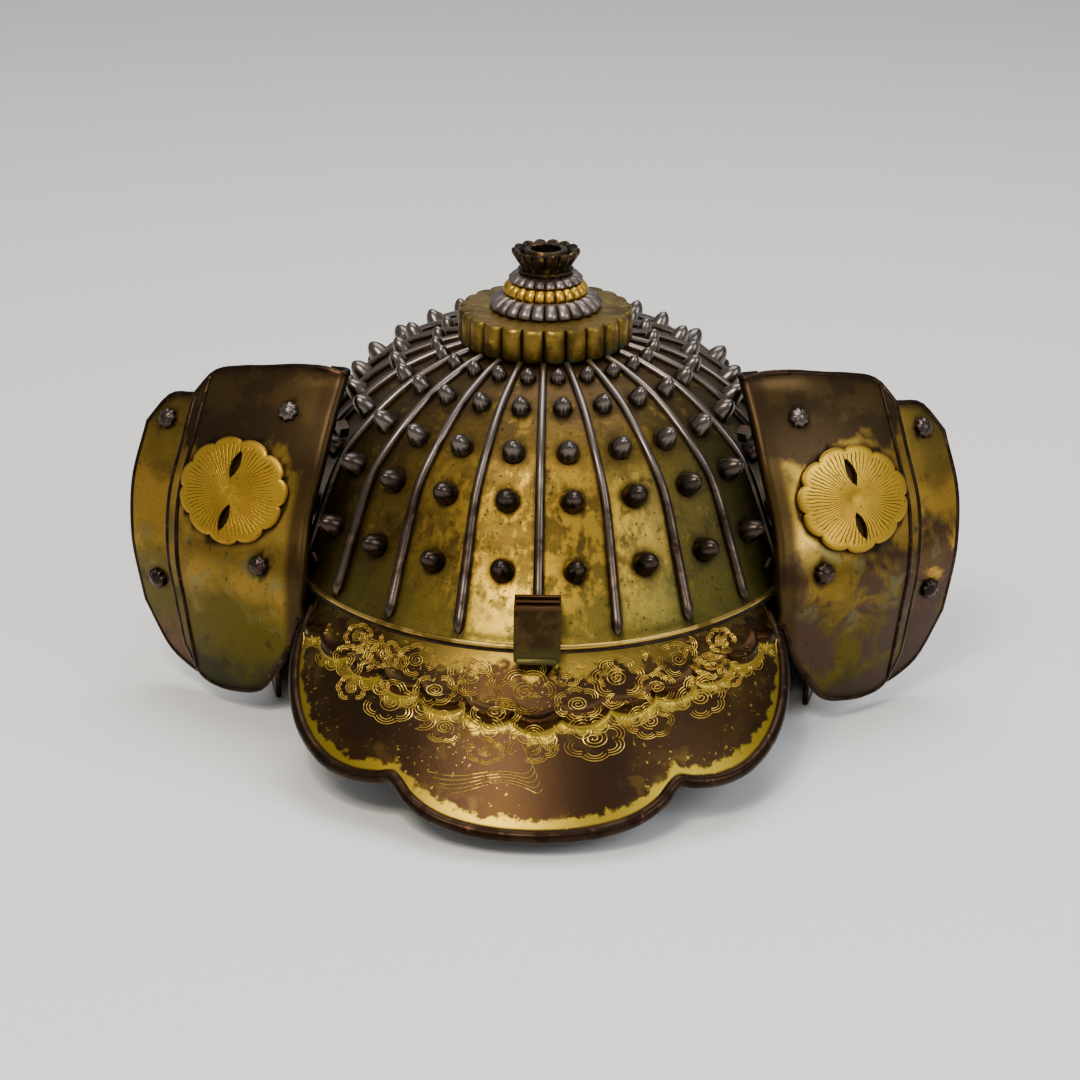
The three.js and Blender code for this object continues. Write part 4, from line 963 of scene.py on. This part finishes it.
def band_ring():
    top = RIM_HEIGHT - CLEARANCE
    section = [(0, -BAND_HEIGHT), (0, -0.5), (-0.4, 0), (-1.6, 0), (-2, -0.5), (-2, -BAND_HEIGHT)]
    return ring_shell(np.stack([rim_oval(inset - BAND_SETBACK, top + drop, 160) for inset, drop in section], 1))


solid("rim_band", band_ring(), IRON, ["base_band"])

beads("rim_bead", [(rim_oval(0.3, RIM_HEIGHT - 1.5, 200), 1)], 0.95, IRON, sides=10, closed=True)
beads("rim_flange", [(rim_oval(1.0, RIM_HEIGHT + 0.5, 200), 1)], 1.05, FLANGE_BRASS, closed=True)

# ---------------------------------------------------------------- the peak


def peak_lift(share, out):
    """Height of the peak's face over its plain slope, and how far a place is inside the cloud edge."""
    reach = peak_reach(share) - PEAK_FACE_INSET
    gap = np.minimum(cloud_reach(share), reach * 0.78) - out
    fade = smooth_step(1 - np.abs(share), 0.0, 0.12)
    puff = 2.3 * np.exp(-((gap - 2.3) / 1.7) ** 2) * (0.25 + 0.75 * cloud_swell(share))
    # The plate swells a little between its root and its rim
    swell = 0.8 * np.sin(math.pi * np.clip(out / reach, 0, 1))
    return (CLOUD_RISE * smooth_step(gap, -0.5, 0.9) + puff + swell) * fade, gap


def peak_grid():
    share, step = np.meshgrid(np.linspace(-1, 1, 361), np.linspace(0, 1, 84), indexing="ij")
    reach = peak_reach(share) - PEAK_FACE_INSET
    out = reach * step
    lift, gap = peak_lift(share, out)
    angle = math.radians(PEAK_SPREAD) * share
    face = peak_point(angle, out, lift)
    back = peak_point(angle, np.maximum(out, PEAK_WALL * math.sin(SLOPE)), -PEAK_WALL)
    marks = {"edge": reach - out, "field": gap, "root": out}
    return face, back, {key: np.stack([grid, grid]) for key, grid in marks.items()}


peak_face, peak_back, peak_values = peak_grid()
solid("peak_plate", sheet_shell(peak_face, peak_back), PEAK_COPPER, ["peak"], values=peak_values)

PEAK_RIM_RADIUS = 2.45
rim_share = np.linspace(-1, 1, 300)
rim_line = peak_point(math.radians(PEAK_SPREAD) * rim_share, peak_reach(rim_share) - 1.7, -0.4)
beads("peak_rim", [(rim_line, np.clip(smooth_step(1 - np.abs(rim_share), 0, 0.05) * 0.4 + 0.6, 0.4, 1))],
      PEAK_RIM_RADIUS, RIM, sides=16)


def on_peak(across, down):
    """Places on the peak's face: across in mm along its root from the front centre, down in mm along its slope."""
    angle = np.asarray(across, float) / PEAK_ROOT_RADIUS
    share = np.clip(angle / math.radians(PEAK_SPREAD), -0.995, 0.995)
    out = np.clip(np.asarray(down, float) * math.cos(SLOPE), 0.4, peak_reach(share) - 5)
    return peak_point(angle, out, peak_lift(share, out)[0] + 0.02)


# The curls are a little lower than wide
SQUASH = 0.82
LINE_RADIUS = 0.24
LOOSE_GROUPS = 64


def swirl(across, down, size, turn, way):
    """Lines of one curled cloud: a spiral and lobes of three nested arcs round it."""
    sweep = np.linspace(0, 2.6 * 2 * math.pi, 44)
    radius = size * (0.04 + 0.36 * sweep / sweep[-1])
    lines = [(radius * np.cos(sweep + turn), radius * np.sin(sweep + turn))]
    for lobe in range(6):
        middle = turn + 0.5 + lobe * 2 * math.pi / 6.6
        for ring in range(3):
            reach = size * (0.22 + 0.105 * ring)
            arc = middle + np.linspace(-1.25 + 0.1 * ring, 1.25 - 0.1 * ring, 9)
            lines.append((0.52 * size * math.cos(middle) + reach * np.cos(arc),
                          0.52 * size * math.sin(middle) + reach * np.sin(arc)))
    return [(across + way * x, down + SQUASH * y) for x, y in lines]


# across, down, size, turn, way round
SWIRLS = [
    (-74, 6, 7.0, 0.3, 1), (-71, 16, 8.2, 2.2, -1), (-59, 9, 7.4, 4.4, 1), (-46, 8, 8.6, 1.1, 1),
    (-50, 26, 10.5, 0.2, -1), (-35, 18, 8.4, 5.2, -1), (-24, 11, 9.6, 2.6, -1), (-13, 24, 8.8, 3.9, 1),
    (-4, 15, 11.4, 0.9, 1), (14, 20, 8.8, 3.4, -1), (11, 8, 6.6, 5.0, 1), (29, 11, 10.8, 1.9, 1),
    (42, 17, 7.8, 3.0, -1), (54, 8, 9.2, 2.0, -1), (65, 14, 7.0, 0.6, 1), (75, 6, 7.0, 1.2, 1),
    (57, 24, 10.2, 2.9, 1), (18, 33, 10.8, 0.1, -1), (-1, 35, 8.6, 2.4, 1), (37, 29, 8.6, 4.1, -1),
    (-29, 31, 7.8, 3.0, 1), (-66, 25, 6.6, 1.4, 1), (71, 19, 6.6, 0.4, -1), (-15, 38, 6.4, 5.6, -1),
]


def engraving():
    paths = [on_peak(x, y) for row in SWIRLS for x, y in swirl(*row)]
    # Small scales along both sides of the raised edge
    for start in np.linspace(-0.9, 0.9, 34):
        arc = np.linspace(0, math.pi, 10)
        base = start * math.radians(PEAK_SPREAD) * PEAK_ROOT_RADIUS
        for size, drop in ((3.0, 1.5), (1.9, 1.5)):
            level = float(cloud_reach(np.array(start))) / math.cos(SLOPE) + drop
            paths.append(on_peak(base + size * np.cos(arc), level + size * np.sin(arc)))
    # Loose groups of nested arcs between the swirls
    scatter = np.random.default_rng(11)
    for _ in range(LOOSE_GROUPS):
        across = scatter.uniform(-76, 76)
        limit = 42 * (1 - (abs(across) / 92) ** 1.4)
        down, size, turn = scatter.uniform(3, limit), scatter.uniform(2.2, 4.6), scatter.uniform(-0.8, 3.9)
        for ring in range(3):
            arc = turn + np.linspace(-1.1 + 0.12 * ring, 1.1 - 0.12 * ring, 9)
            reach = size * (1 - 0.24 * ring)
            paths.append(on_peak(across + reach * np.cos(arc), down + SQUASH * reach * np.sin(arc)))
    # The wind lines at the front, each curled up at its end
    for line in range(5):
        x = np.linspace(-31 + line * 2.1, -4 + 1.1 * line, 36)
        y = 46.5 + line * 1.35 + (1.7 + 0.3 * line) * np.sin((x + 33) / 5.4) + 0.004 * (x + 16) ** 2
        curl = np.linspace(0, 2.6 - 0.3 * line, 12)
        x = np.concatenate([x, x[-1] + (3.2 - 0.4 * line) * np.sin(curl[1:])])
        y = np.concatenate([y, y[-1] - (3.2 - 0.4 * line) * (1 - np.cos(curl[1:]))])
        paths.append(on_peak(x, y))
    beads("peak_engraving", [(path, 1) for path in paths], LINE_RADIUS, GOLD_LINE, sides=6, sharp=60)


engraving()

# ---------------------------------------------------------------- the crest socket


def wedge(low, high, wide_low, wide_high, back_low, back_high, front_low, front_high, bevel=0.5):
    """A block between two heights with its four upright edges bevelled."""
    rings = []
    for height, half, back, front, inset in (
            (low, wide_low, back_low, front_low, bevel), (low + bevel, wide_low, back_low, front_low, 0),
            (high - bevel, wide_high, back_high, front_high, 0), (high, wide_high, back_high, front_high, bevel)):
        x, f, b = half - inset, front + inset, back
        rings.append([(-x + bevel, f, height), (x - bevel, f, height), (x, f + bevel, height), (x, b, height),
                      (-x, b, height), (-x, f + bevel, height)])
    points = np.array(rings, float).reshape(-1, 3)
    return points, tube_faces(4, 6) + [tuple(range(5, -1, -1)), tuple(range(18, 24))]


def crest_socket():
    foot = RIM_HEIGHT - PEAK_DROP + SOCKET_LIFT
    top = foot + SOCKET_HEIGHT
    front = -(BOWL_HALF_WIDTH * RIM_LENGTH_RATIO + RIB_RISE) - SOCKET_REACH
    lean = math.tan(math.radians(SOCKET_LEAN)) * SOCKET_HEIGHT
    back_foot, back_top = front + SOCKET_REACH - CLEARANCE, front + lean + 13.4
    half = SOCKET_WIDTH / 2
    shapes = [wedge(foot, top - 1.6, half, half, back_foot, back_top - 0.9, front, front + lean * 0.92)]
    # Thin tongues stand above the block in front of and between the slots
    for start, thick in ((0.0, 1.5), (5.0, 1.4), (9.8, 1.5)):
        base = front + lean + start
        shapes.append(wedge(top - 3, top, half, half, base + thick - 0.4, base + thick, base - 0.4, base, 0.25))
    shapes.append(wedge(foot - 0.2, foot + 2.0, half - 1.2, half - 1.0, front + 3, front + 3,
                        front - 1.1, front - 0.5, 0.35))
    solid("crest_socket_block", joined(*shapes), SOCKET_COPPER, ["crest_socket"])


crest_socket()

# ---------------------------------------------------------------- the crown fitting

CROWN_MIDDLE = -CROWN_SHIFT * BOWL_HALF_WIDTH


def petal_piece(name, profile, count, depth, material, nodes, power=0.6, tip=0.0):
    """A ring round the opening. Profile rows are radius, height and share of the groove between the petals."""
    angle = round_angles(count * 12)
    groove = 1 - np.abs(np.sin(count * angle / 2)) ** power
    # Dirt and painted shade in the grooves between the petals
    rings, dirt_and_shade = [], []
    for radius, height, share in profile:
        reach = radius - depth * share * groove
        level = height - tip * share * groove
        rings.append(np.stack([reach * np.sin(angle), CROWN_MIDDLE - reach * np.cos(angle), level], -1))
        dirt_and_shade.append(np.clip(groove * 1.2, 0, 1) * share)
    solid(name, ring_shell(np.stack(rings, 1)), material, nodes, values={"dirt_and_shade": np.stack(dirt_and_shade, 1)}, sharp=40)


def ring_heights(node):
    """Lower and upper end of a solid in mm."""
    return [corner.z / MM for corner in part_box(node)]


low, high = ring_heights("crown_drum")
petal_piece("drum_seat", [
    (OPENING_RADIUS, high - 3, 0), (OPENING_RADIUS, high, 0), (24, high, 0),
    (DRUM_RADIUS - 3.6, high + 0.1, 0.2), (DRUM_RADIUS - 0.9, high - 0.1, 0.9),
    (DRUM_RADIUS - 0.2, high - 0.9, 1), (DRUM_RADIUS, high - 2.4, 1), (DRUM_RADIUS, low + 1.2, 1),
    (DRUM_RADIUS - 0.5, low, 1), (29.5, low, 0), (29.5, high - 3, 0),
], 24, 2.4, DRUM_BRASS, ["crown_drum"], power=0.5)

low, high = ring_heights("crown_ring_lower")
petal_piece("petals_lower", [
    (OPENING_RADIUS, low, 0), (OPENING_RADIUS, high, 0), (16.6, high, 0.1), (17.4, high - 0.1, 0.5),
    (18.6, high - 0.5, 0.8), (20.2, high - 1.5, 1), (21.6, high - 2.9, 1), (22.3, low + 1.6, 1), (22.2, low + 0.7, 1),
    (21.4, low, 0.9), (14, low, 0),
], 24, 1.7, SILVER, ["crown_ring_lower"], tip=0.7)

low, high = ring_heights("crown_ring_gilt")
petal_piece("petals_gilt", [
    (OPENING_RADIUS, low, 0), (OPENING_RADIUS, high, 0), (13, high, 0.1), (14.4, high - 0.1, 0.6),
    (15.6, high - 0.8, 0.9), (16.5, low + 2.2, 1), (16.8, low + 1.0, 1), (16.2, low, 1), (12, low, 0),
], 24, 1.2, PETAL_GILT, ["crown_ring_gilt"], tip=0.5)

low, high = ring_heights("crown_ring_upper")
petal_piece("petals_upper", [
    (OPENING_RADIUS, low, 0), (OPENING_RADIUS, high, 0), (9.5, high, 0), (11.4, high - 0.1, 0.5),
    (13.2, high - 0.8, 0.9), (14.5, low + 1.4, 1), (14.8, low + 0.6, 1), (14.2, low, 1), (11, low, 0),
], 20, 1.1, SILVER, ["crown_ring_upper"], tip=0.4)

low, high = ring_heights("crown_cup")
petal_piece("cup_petals", [
    (8.9, low + 1, 0), (9.2, high - 3.0, 0), (10.4, high - 1.2, 0.3), (11.6, high - 0.3, 0.7), (12.6, high, 1),
    (13.4, high - 0.5, 1), (13.5, high - 1.6, 1), (12.9, high - 2.9, 1), (12.0, high - 4.3, 0.9),
    (11.0, low + 3.4, 0.7), (10.2, low + 2.3, 0.3), (10.0, low + 1.7, 0.1), (10.9, low + 1.3, 0.1),
    (11.1, low + 0.7, 0.1), (10.8, low, 0), (8.9, low, 0),
], 14, 2.0, BRONZE, ["crown_cup"], power=0.55, tip=1.0)
petal_piece("cup_liner", [
    (OPENING_RADIUS, low, 0), (OPENING_RADIUS, high - 0.6, 0), (6.5, high - 0.15, 0), (7.4, high - 0.1, 0),
    (8.3, high - 0.5, 0), (8.8, high - 1.4, 0), (8.7, high - 3, 0), (8.7, low, 0),
], 14, 0, BRONZE, ())

# ---------------------------------------------------------------- neck guard and wings

LAME_RIM_RADIUS = 1.4


def near_wall(grid, places):
    """1 round the foot of each rivet on a wing, gone a few mm away."""
    away = np.min(np.linalg.norm(grid[:, :, None] - places, axis=3), axis=2)
    return np.exp(-np.maximum(away - 4.2, 0) / 1.5)


WING_RIVETS = [
    (FRONT_WING, 0.25, 0.94), (FRONT_WING, 0.25, 0.523), (OUTER_WING, 0.84, 0.845), (OUTER_WING, 0.82, 0.375),
]


def wall_round(middle, half_wall):
    """A wall with this grid of points in the middle of it."""
    return sheet_shell(offset_grid(middle, half_wall), offset_grid(middle, -half_wall))


def winged_lame(name, node, wing, material, rim_name):
    half = strip_columns(wing)
    middle = both_sides(half)
    seats = np.array([wing_point(wing, across, height * WING_HEIGHT) for other, across, height in WING_RIVETS
                      if other is wing])
    seats = np.concatenate([seats, seats * MIRROR])
    row = np.arange(middle.shape[1])
    edge = np.minimum(row, row[::-1])[None] * 2.4
    # Dirt and painted shade round the rivets and along the top and bottom edges of the plate
    dirt_and_shade = near_wall(middle, seats) * 0.8 + np.exp(-edge / 1.6) * 0.7
    # Painted shadow on the plate under each disc, seen through its slits
    if wing is FRONT_WING:
        disc = wing_point(wing, EMBLEM_ACROSS, EMBLEM_UP)
        for side in (1, -1):
            away = (middle - disc * np.array([side, 1, 1])) / np.array([1, 1, EMBLEM_HEIGHT / EMBLEM_WIDTH])
            dirt_and_shade = dirt_and_shade + np.exp(-np.maximum(np.linalg.norm(away, axis=2) - EMBLEM_WIDTH / 2 + 0.4, 0) / 1.1)
    # The fold stays brown: 1 on it, falling off over a few mm of the wing and along the strip round the back
    crease = np.concatenate([np.zeros(3), 1 - np.linspace(0.92, 0, 24) / 0.16, np.ones(8),
                             np.linspace(1, 0.6, 25), np.full(len(half) - 60, 0.55)])
    fold = np.repeat(np.concatenate([crease, crease[:-1][::-1]])[:, None], middle.shape[1], 1)
    solid(name, wall_round(middle, LAME_WALL / 2), material, [node],
          values={"dirt_and_shade": np.clip([dirt_and_shade, dirt_and_shade], 0, 1), "fold": np.clip([fold, fold], 0, 1)}, sharp=45)
    loop = np.concatenate([middle[:, -1], middle[-1, 1:-1][::-1], middle[:, 0][::-1], middle[0, 1:-1]])
    beads(rim_name, [(loop, 1)], LAME_RIM_RADIUS, RIM, closed=True)


winged_lame("upper_lame_plate", "lame_upper", FRONT_WING, WING_BRASS, "upper_lame_rim")
winged_lame("middle_lame_plate", "lame_middle", OUTER_WING, OUTER_BRASS, "middle_lame_rim")


def lower_lame():
    angle = np.linspace(math.radians(LOWER_LAME_FRONT), 2 * math.pi - math.radians(LOWER_LAME_FRONT), 150)
    height = np.linspace(0.9, LOWER_LAME_TOP, 9)
    grid = np.stack([strip_point(2, angle, level + 0 * angle) for level in height], 1)
    solid("lower_lame_plate", wall_round(grid, 0.9), OUTER_BRASS, ["lame_lower"],
          values={"dirt_and_shade": np.full((2, *grid.shape[:2]), 0.25)}, sharp=45)
    foot = np.concatenate([grid[:, 0], grid[-1, 1:-1], grid[:, -1][::-1], grid[0, 1:-1][::-1]])
    foot[:, 2] = np.clip(foot[:, 2], 1.3, LOWER_LAME_TOP - 0.3)
    beads("lower_lame_rim", [(foot, 1)], 1.25, RIM, closed=True)


lower_lame()


def wing_beads():
    """A thin raised line inside the outer edge of each front wing."""
    across = 0.915
    low, high = wing_span_of(FRONT_WING, across)
    height = np.linspace(low + 1, high - 1, 40)
    path = wing_point(FRONT_WING, across, height) + wing_facing(FRONT_WING, across, height) * LAME_WALL / 2
    beads("wing_lines", [(path, 1), (path * MIRROR, 1)], 0.85, RIM, sides=10)


wing_beads()

lobed_head = lathe_head([(4.3, 0), (4.3, 0.8), (4.0, 1.7), (3.3, 2.5), (2.2, 3.1), (1.0, 3.45)], 40, 8, 0.16)
head_places, head_facings = [], []
for wing, across, height in WING_RIVETS:
    place = wing_point(wing, across, height * WING_HEIGHT)
    facing = wing_facing(wing, across, height * WING_HEIGHT)
    for side in (1, -1):
        mirror = np.array([side, 1, 1])
        head_places.append((place + facing * 0.9) * mirror)
        head_facings.append(facing * mirror)
heads("wing_rivets", lobed_head, head_places, head_facings, np.ones(len(head_places)), HEAD, [
    f"wing_rivet_{name}_{side}" for name in ("front_upper", "front_lower", "outer_upper", "outer_lower")
    for side in ("right", "left")], sharp=30)


SLIT_HALF_LENGTH, SLIT_HALF_WIDTH, SLIT_TILT = 5.8, 2.1, math.radians(-14)


def emblem_shape():
    """Lobed disc on the curve of the front wing: points, faces, points in a ring, rows, facing and rate of rise."""
    wing, across, height = FRONT_WING, EMBLEM_ACROSS, EMBLEM_UP
    span = np.linalg.norm(wing_point(wing, 1, height) - wing_point(wing, 0, height))
    rate = np.linalg.norm(wing_point(wing, across, height + 1) - wing_point(wing, across, height))
    count = EMBLEM_LOBES * 16
    angle = round_angles(count) + math.pi / 2
    dip = 1 - np.abs(np.sin(EMBLEM_LOBES * (angle - math.pi / 2) / 2)) ** 0.55
    rows = [(1.0, 0.0), (1.0, 0.9), (0.985, 1.35), (0.95, 1.6), (0.88, 1.72), (0.78, 1.85), (0.66, 2.0),
            (0.52, 2.1), (0.38, 2.15), (0.24, 2.1), (0.12, 2.0)]
    rings = []
    for share, lift in rows:
        reach = share * 0.5 * (1 - 0.085 * dip * share ** 2)
        u, v = reach * EMBLEM_WIDTH * np.cos(angle), reach * EMBLEM_HEIGHT * np.sin(angle)
        place = wing_point(wing, across + u / span, height + v / rate)
        facing = wing_facing(wing, across + u / span, height + v / rate)
        rings.append(place + facing * (1 + EMBLEM_LIFT + lift * 0.8))
    place, facing = wing_point(wing, across, height), wing_facing(wing, across, height)
    centre, under = place + facing * (1 + EMBLEM_LIFT + 1.3), place + facing * (1 + EMBLEM_LIFT)
    points = np.concatenate(rings + [centre[None], under[None]])
    return points, cone_faces(len(rows), count), count, rows, facing, rate


def slit_cutter(side, facing, rate):
    """An almond bar through the disc, above its middle or below it."""
    middle = wing_point(FRONT_WING, EMBLEM_ACROSS, EMBLEM_UP + side * 10.5 / rate) + facing * 2.4
    up = np.array([0, 0, 1.0]) - facing * facing[2]
    up = up / np.linalg.norm(up)
    right = np.cross(up, facing)
    turned_up = up * math.cos(SLIT_TILT) + right * math.sin(SLIT_TILT)
    turned_right = right * math.cos(SLIT_TILT) - up * math.sin(SLIT_TILT)
    share = np.linspace(0, 1, 13)
    along, bow = SLIT_HALF_LENGTH * (1 - 2 * share), SLIT_HALF_WIDTH * np.sin(math.pi * share) ** 0.8
    outline = [*zip(along, bow), *zip(-along[1:-1], -bow[1:-1])]
    points = [middle + turned_up * up_slit + turned_right * aside + facing * depth
              for depth in (-2.6, 4.0) for up_slit, aside in outline]
    count = len(outline)
    return np.array(points), tube_faces(2, count) + [tuple(range(count - 1, -1, -1)), tuple(range(count, 2 * count))]


def emblem(side):
    """One disc with two slits cut through it. Its chart holds the turn and the reach of each point for the rays."""
    points, faces, count, rows, facing, rate = emblem_shape()
    hand = "left" if side > 0 else "right"
    cutters = [slit_cutter(way, facing, rate) for way in (-1, 1)]
    if side < 0:
        points, faces = mirror_shape(points, faces)
        cutters = [mirror_shape(*cutter) for cutter in cutters]
    name = f"disc_{hand}"
    mesh = new_mesh(name, points, faces)
    first_end = count * len(rows)
    turns = np.append(np.tile(np.arange(count) / count, len(rows)), [0, 0])
    reach = np.append(np.repeat([share for share, _ in rows], count), [0, 0])
    chart = mesh.uv_layers.new(name="rays")
    for polygon in mesh.polygons:
        corners = [(loop, mesh.loops[loop].vertex_index) for loop in polygon.loop_indices]
        corner_turns = [turns[index] for _, index in corners]
        wrap = max(corner_turns) - min(corner_turns) > 0.5
        unrolled = {index: turns[index] + (1 if wrap and turns[index] < 0.5 else 0) for _, index in corners}
        known = [turn for index, turn in unrolled.items() if index < first_end]
        for loop, index in corners:
            turn = unrolled[index] if index < first_end else sum(known) / len(known)
            chart.data[loop].uv = (turn, reach[index])
    mark(mesh, edge=(1 - reach) * EMBLEM_HEIGHT / 2)
    mesh.materials.append(DISC_GILT)
    carrier = put(name + "_raw", mesh)
    tools = [put(name + "_slit", new_mesh(name + "_slit", *cutter)) for cutter in cutters]
    for tool in tools:
        modifier = carrier.modifiers.new("slit", "BOOLEAN")
        modifier.operation, modifier.solver, modifier.object = "DIFFERENCE", "EXACT", tool
    finish_piece(name, plain_mesh(name, carrier, *tools), DISC_GILT, [f"emblem_{hand}"], sharp=40)


emblem(1)
emblem(-1)

for name in ("peg_upper_right", "peg_upper_left", "peg_lower_right", "peg_lower_left"):
    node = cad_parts[name]
    node.data.materials.clear()
    node.data.materials.append(IRON)

# ---------------------------------------------------------------- floor, light and camera


def stage_floor():
    mesh = bpy.data.meshes.new("floor")
    mesh.from_pydata([(-6, -6, 0), (6, -6, 0), (6, 6, 0), (-6, 6, 0)], [], [(0, 1, 2, 3)])
    material = bpy.data.materials.new("pale matt paper")
    material.use_nodes = True
    shader = material.node_tree.nodes["Principled BSDF"]
    shader.inputs["Base Color"].default_value = linear("f2f1ee")
    shader.inputs["Roughness"].default_value = 0.9
    mesh.materials.append(material)
    put("floor", mesh)


stage_floor()

world = bpy.data.worlds.new("studio")
bpy.context.scene.world = world
world.use_nodes = True
backdrop = world.node_tree.nodes["Background"].inputs
backdrop["Color"].default_value = linear("dfe1e4")
backdrop["Strength"].default_value = 0.6


def soft_light(name, place, aim, size, power, colour="ffffff", depth=None):
    data = bpy.data.lights.new(name, "AREA")
    data.shape = "RECTANGLE"
    data.size, data.size_y = size, depth or size
    data.energy = power
    data.color = linear(colour)[:3]
    lamp = put(name, data)
    lamp.location = place
    lamp.rotation_euler = (Vector(aim) - Vector(place)).to_track_quat("-Z", "Y").to_euler()


soft_light("key", (-0.35, -0.9, 1.25), (0, 0, 0.07), 0.65, 12.5, "fff3e0", 0.45)
soft_light("glint", (-0.22, -0.8, 1.2), (0, 0, 0.09), 0.09, 3.2, "fffaf2")
soft_light("fill", (0.9, -0.7, 0.8), (0, 0, 0.07), 0.6, 6, "eef4ff")
soft_light("top", (0.1, 0.35, 1.4), (0, 0, 0.1), 0.9, 12)

# Camera at the view of the photograph, fitted in its pixels
PHOTO_WIDTH, FOCAL_PIXELS, SENSOR_MM, DISTANCE = 1080, 2505, 36, 1.027
AIM = Vector((-0.0018, BOWL_MIDDLE_Y * MM, 0.0527))
YAW, PITCH, ROLL = math.radians(1.2), math.radians(22.4), math.radians(-0.3)
AWAY = Vector((math.sin(YAW) * math.cos(PITCH), -math.cos(YAW) * math.cos(PITCH), math.sin(PITCH)))
RIGHT = Vector((math.cos(YAW), math.sin(YAW), 0))
UP = AWAY.cross(RIGHT)
SIDE = RIGHT * math.cos(ROLL) - UP * math.sin(ROLL)
LIFT = RIGHT * math.sin(ROLL) + UP * math.cos(ROLL)
lens = bpy.data.cameras.new("camera")
lens.lens = FOCAL_PIXELS / PHOTO_WIDTH * SENSOR_MM
lens.sensor_width = SENSOR_MM
lens.clip_end = 50
camera = put("camera", lens)
spot = AIM + AWAY * DISTANCE
camera.matrix_world = Matrix((
    (SIDE.x, LIFT.x, AWAY.x, spot.x),
    (SIDE.y, LIFT.y, AWAY.y, spot.y),
    (SIDE.z, LIFT.z, AWAY.z, spot.z),
    (0, 0, 0, 1),
))
bpy.context.scene.camera = camera

bpy.context.view_layer.update()
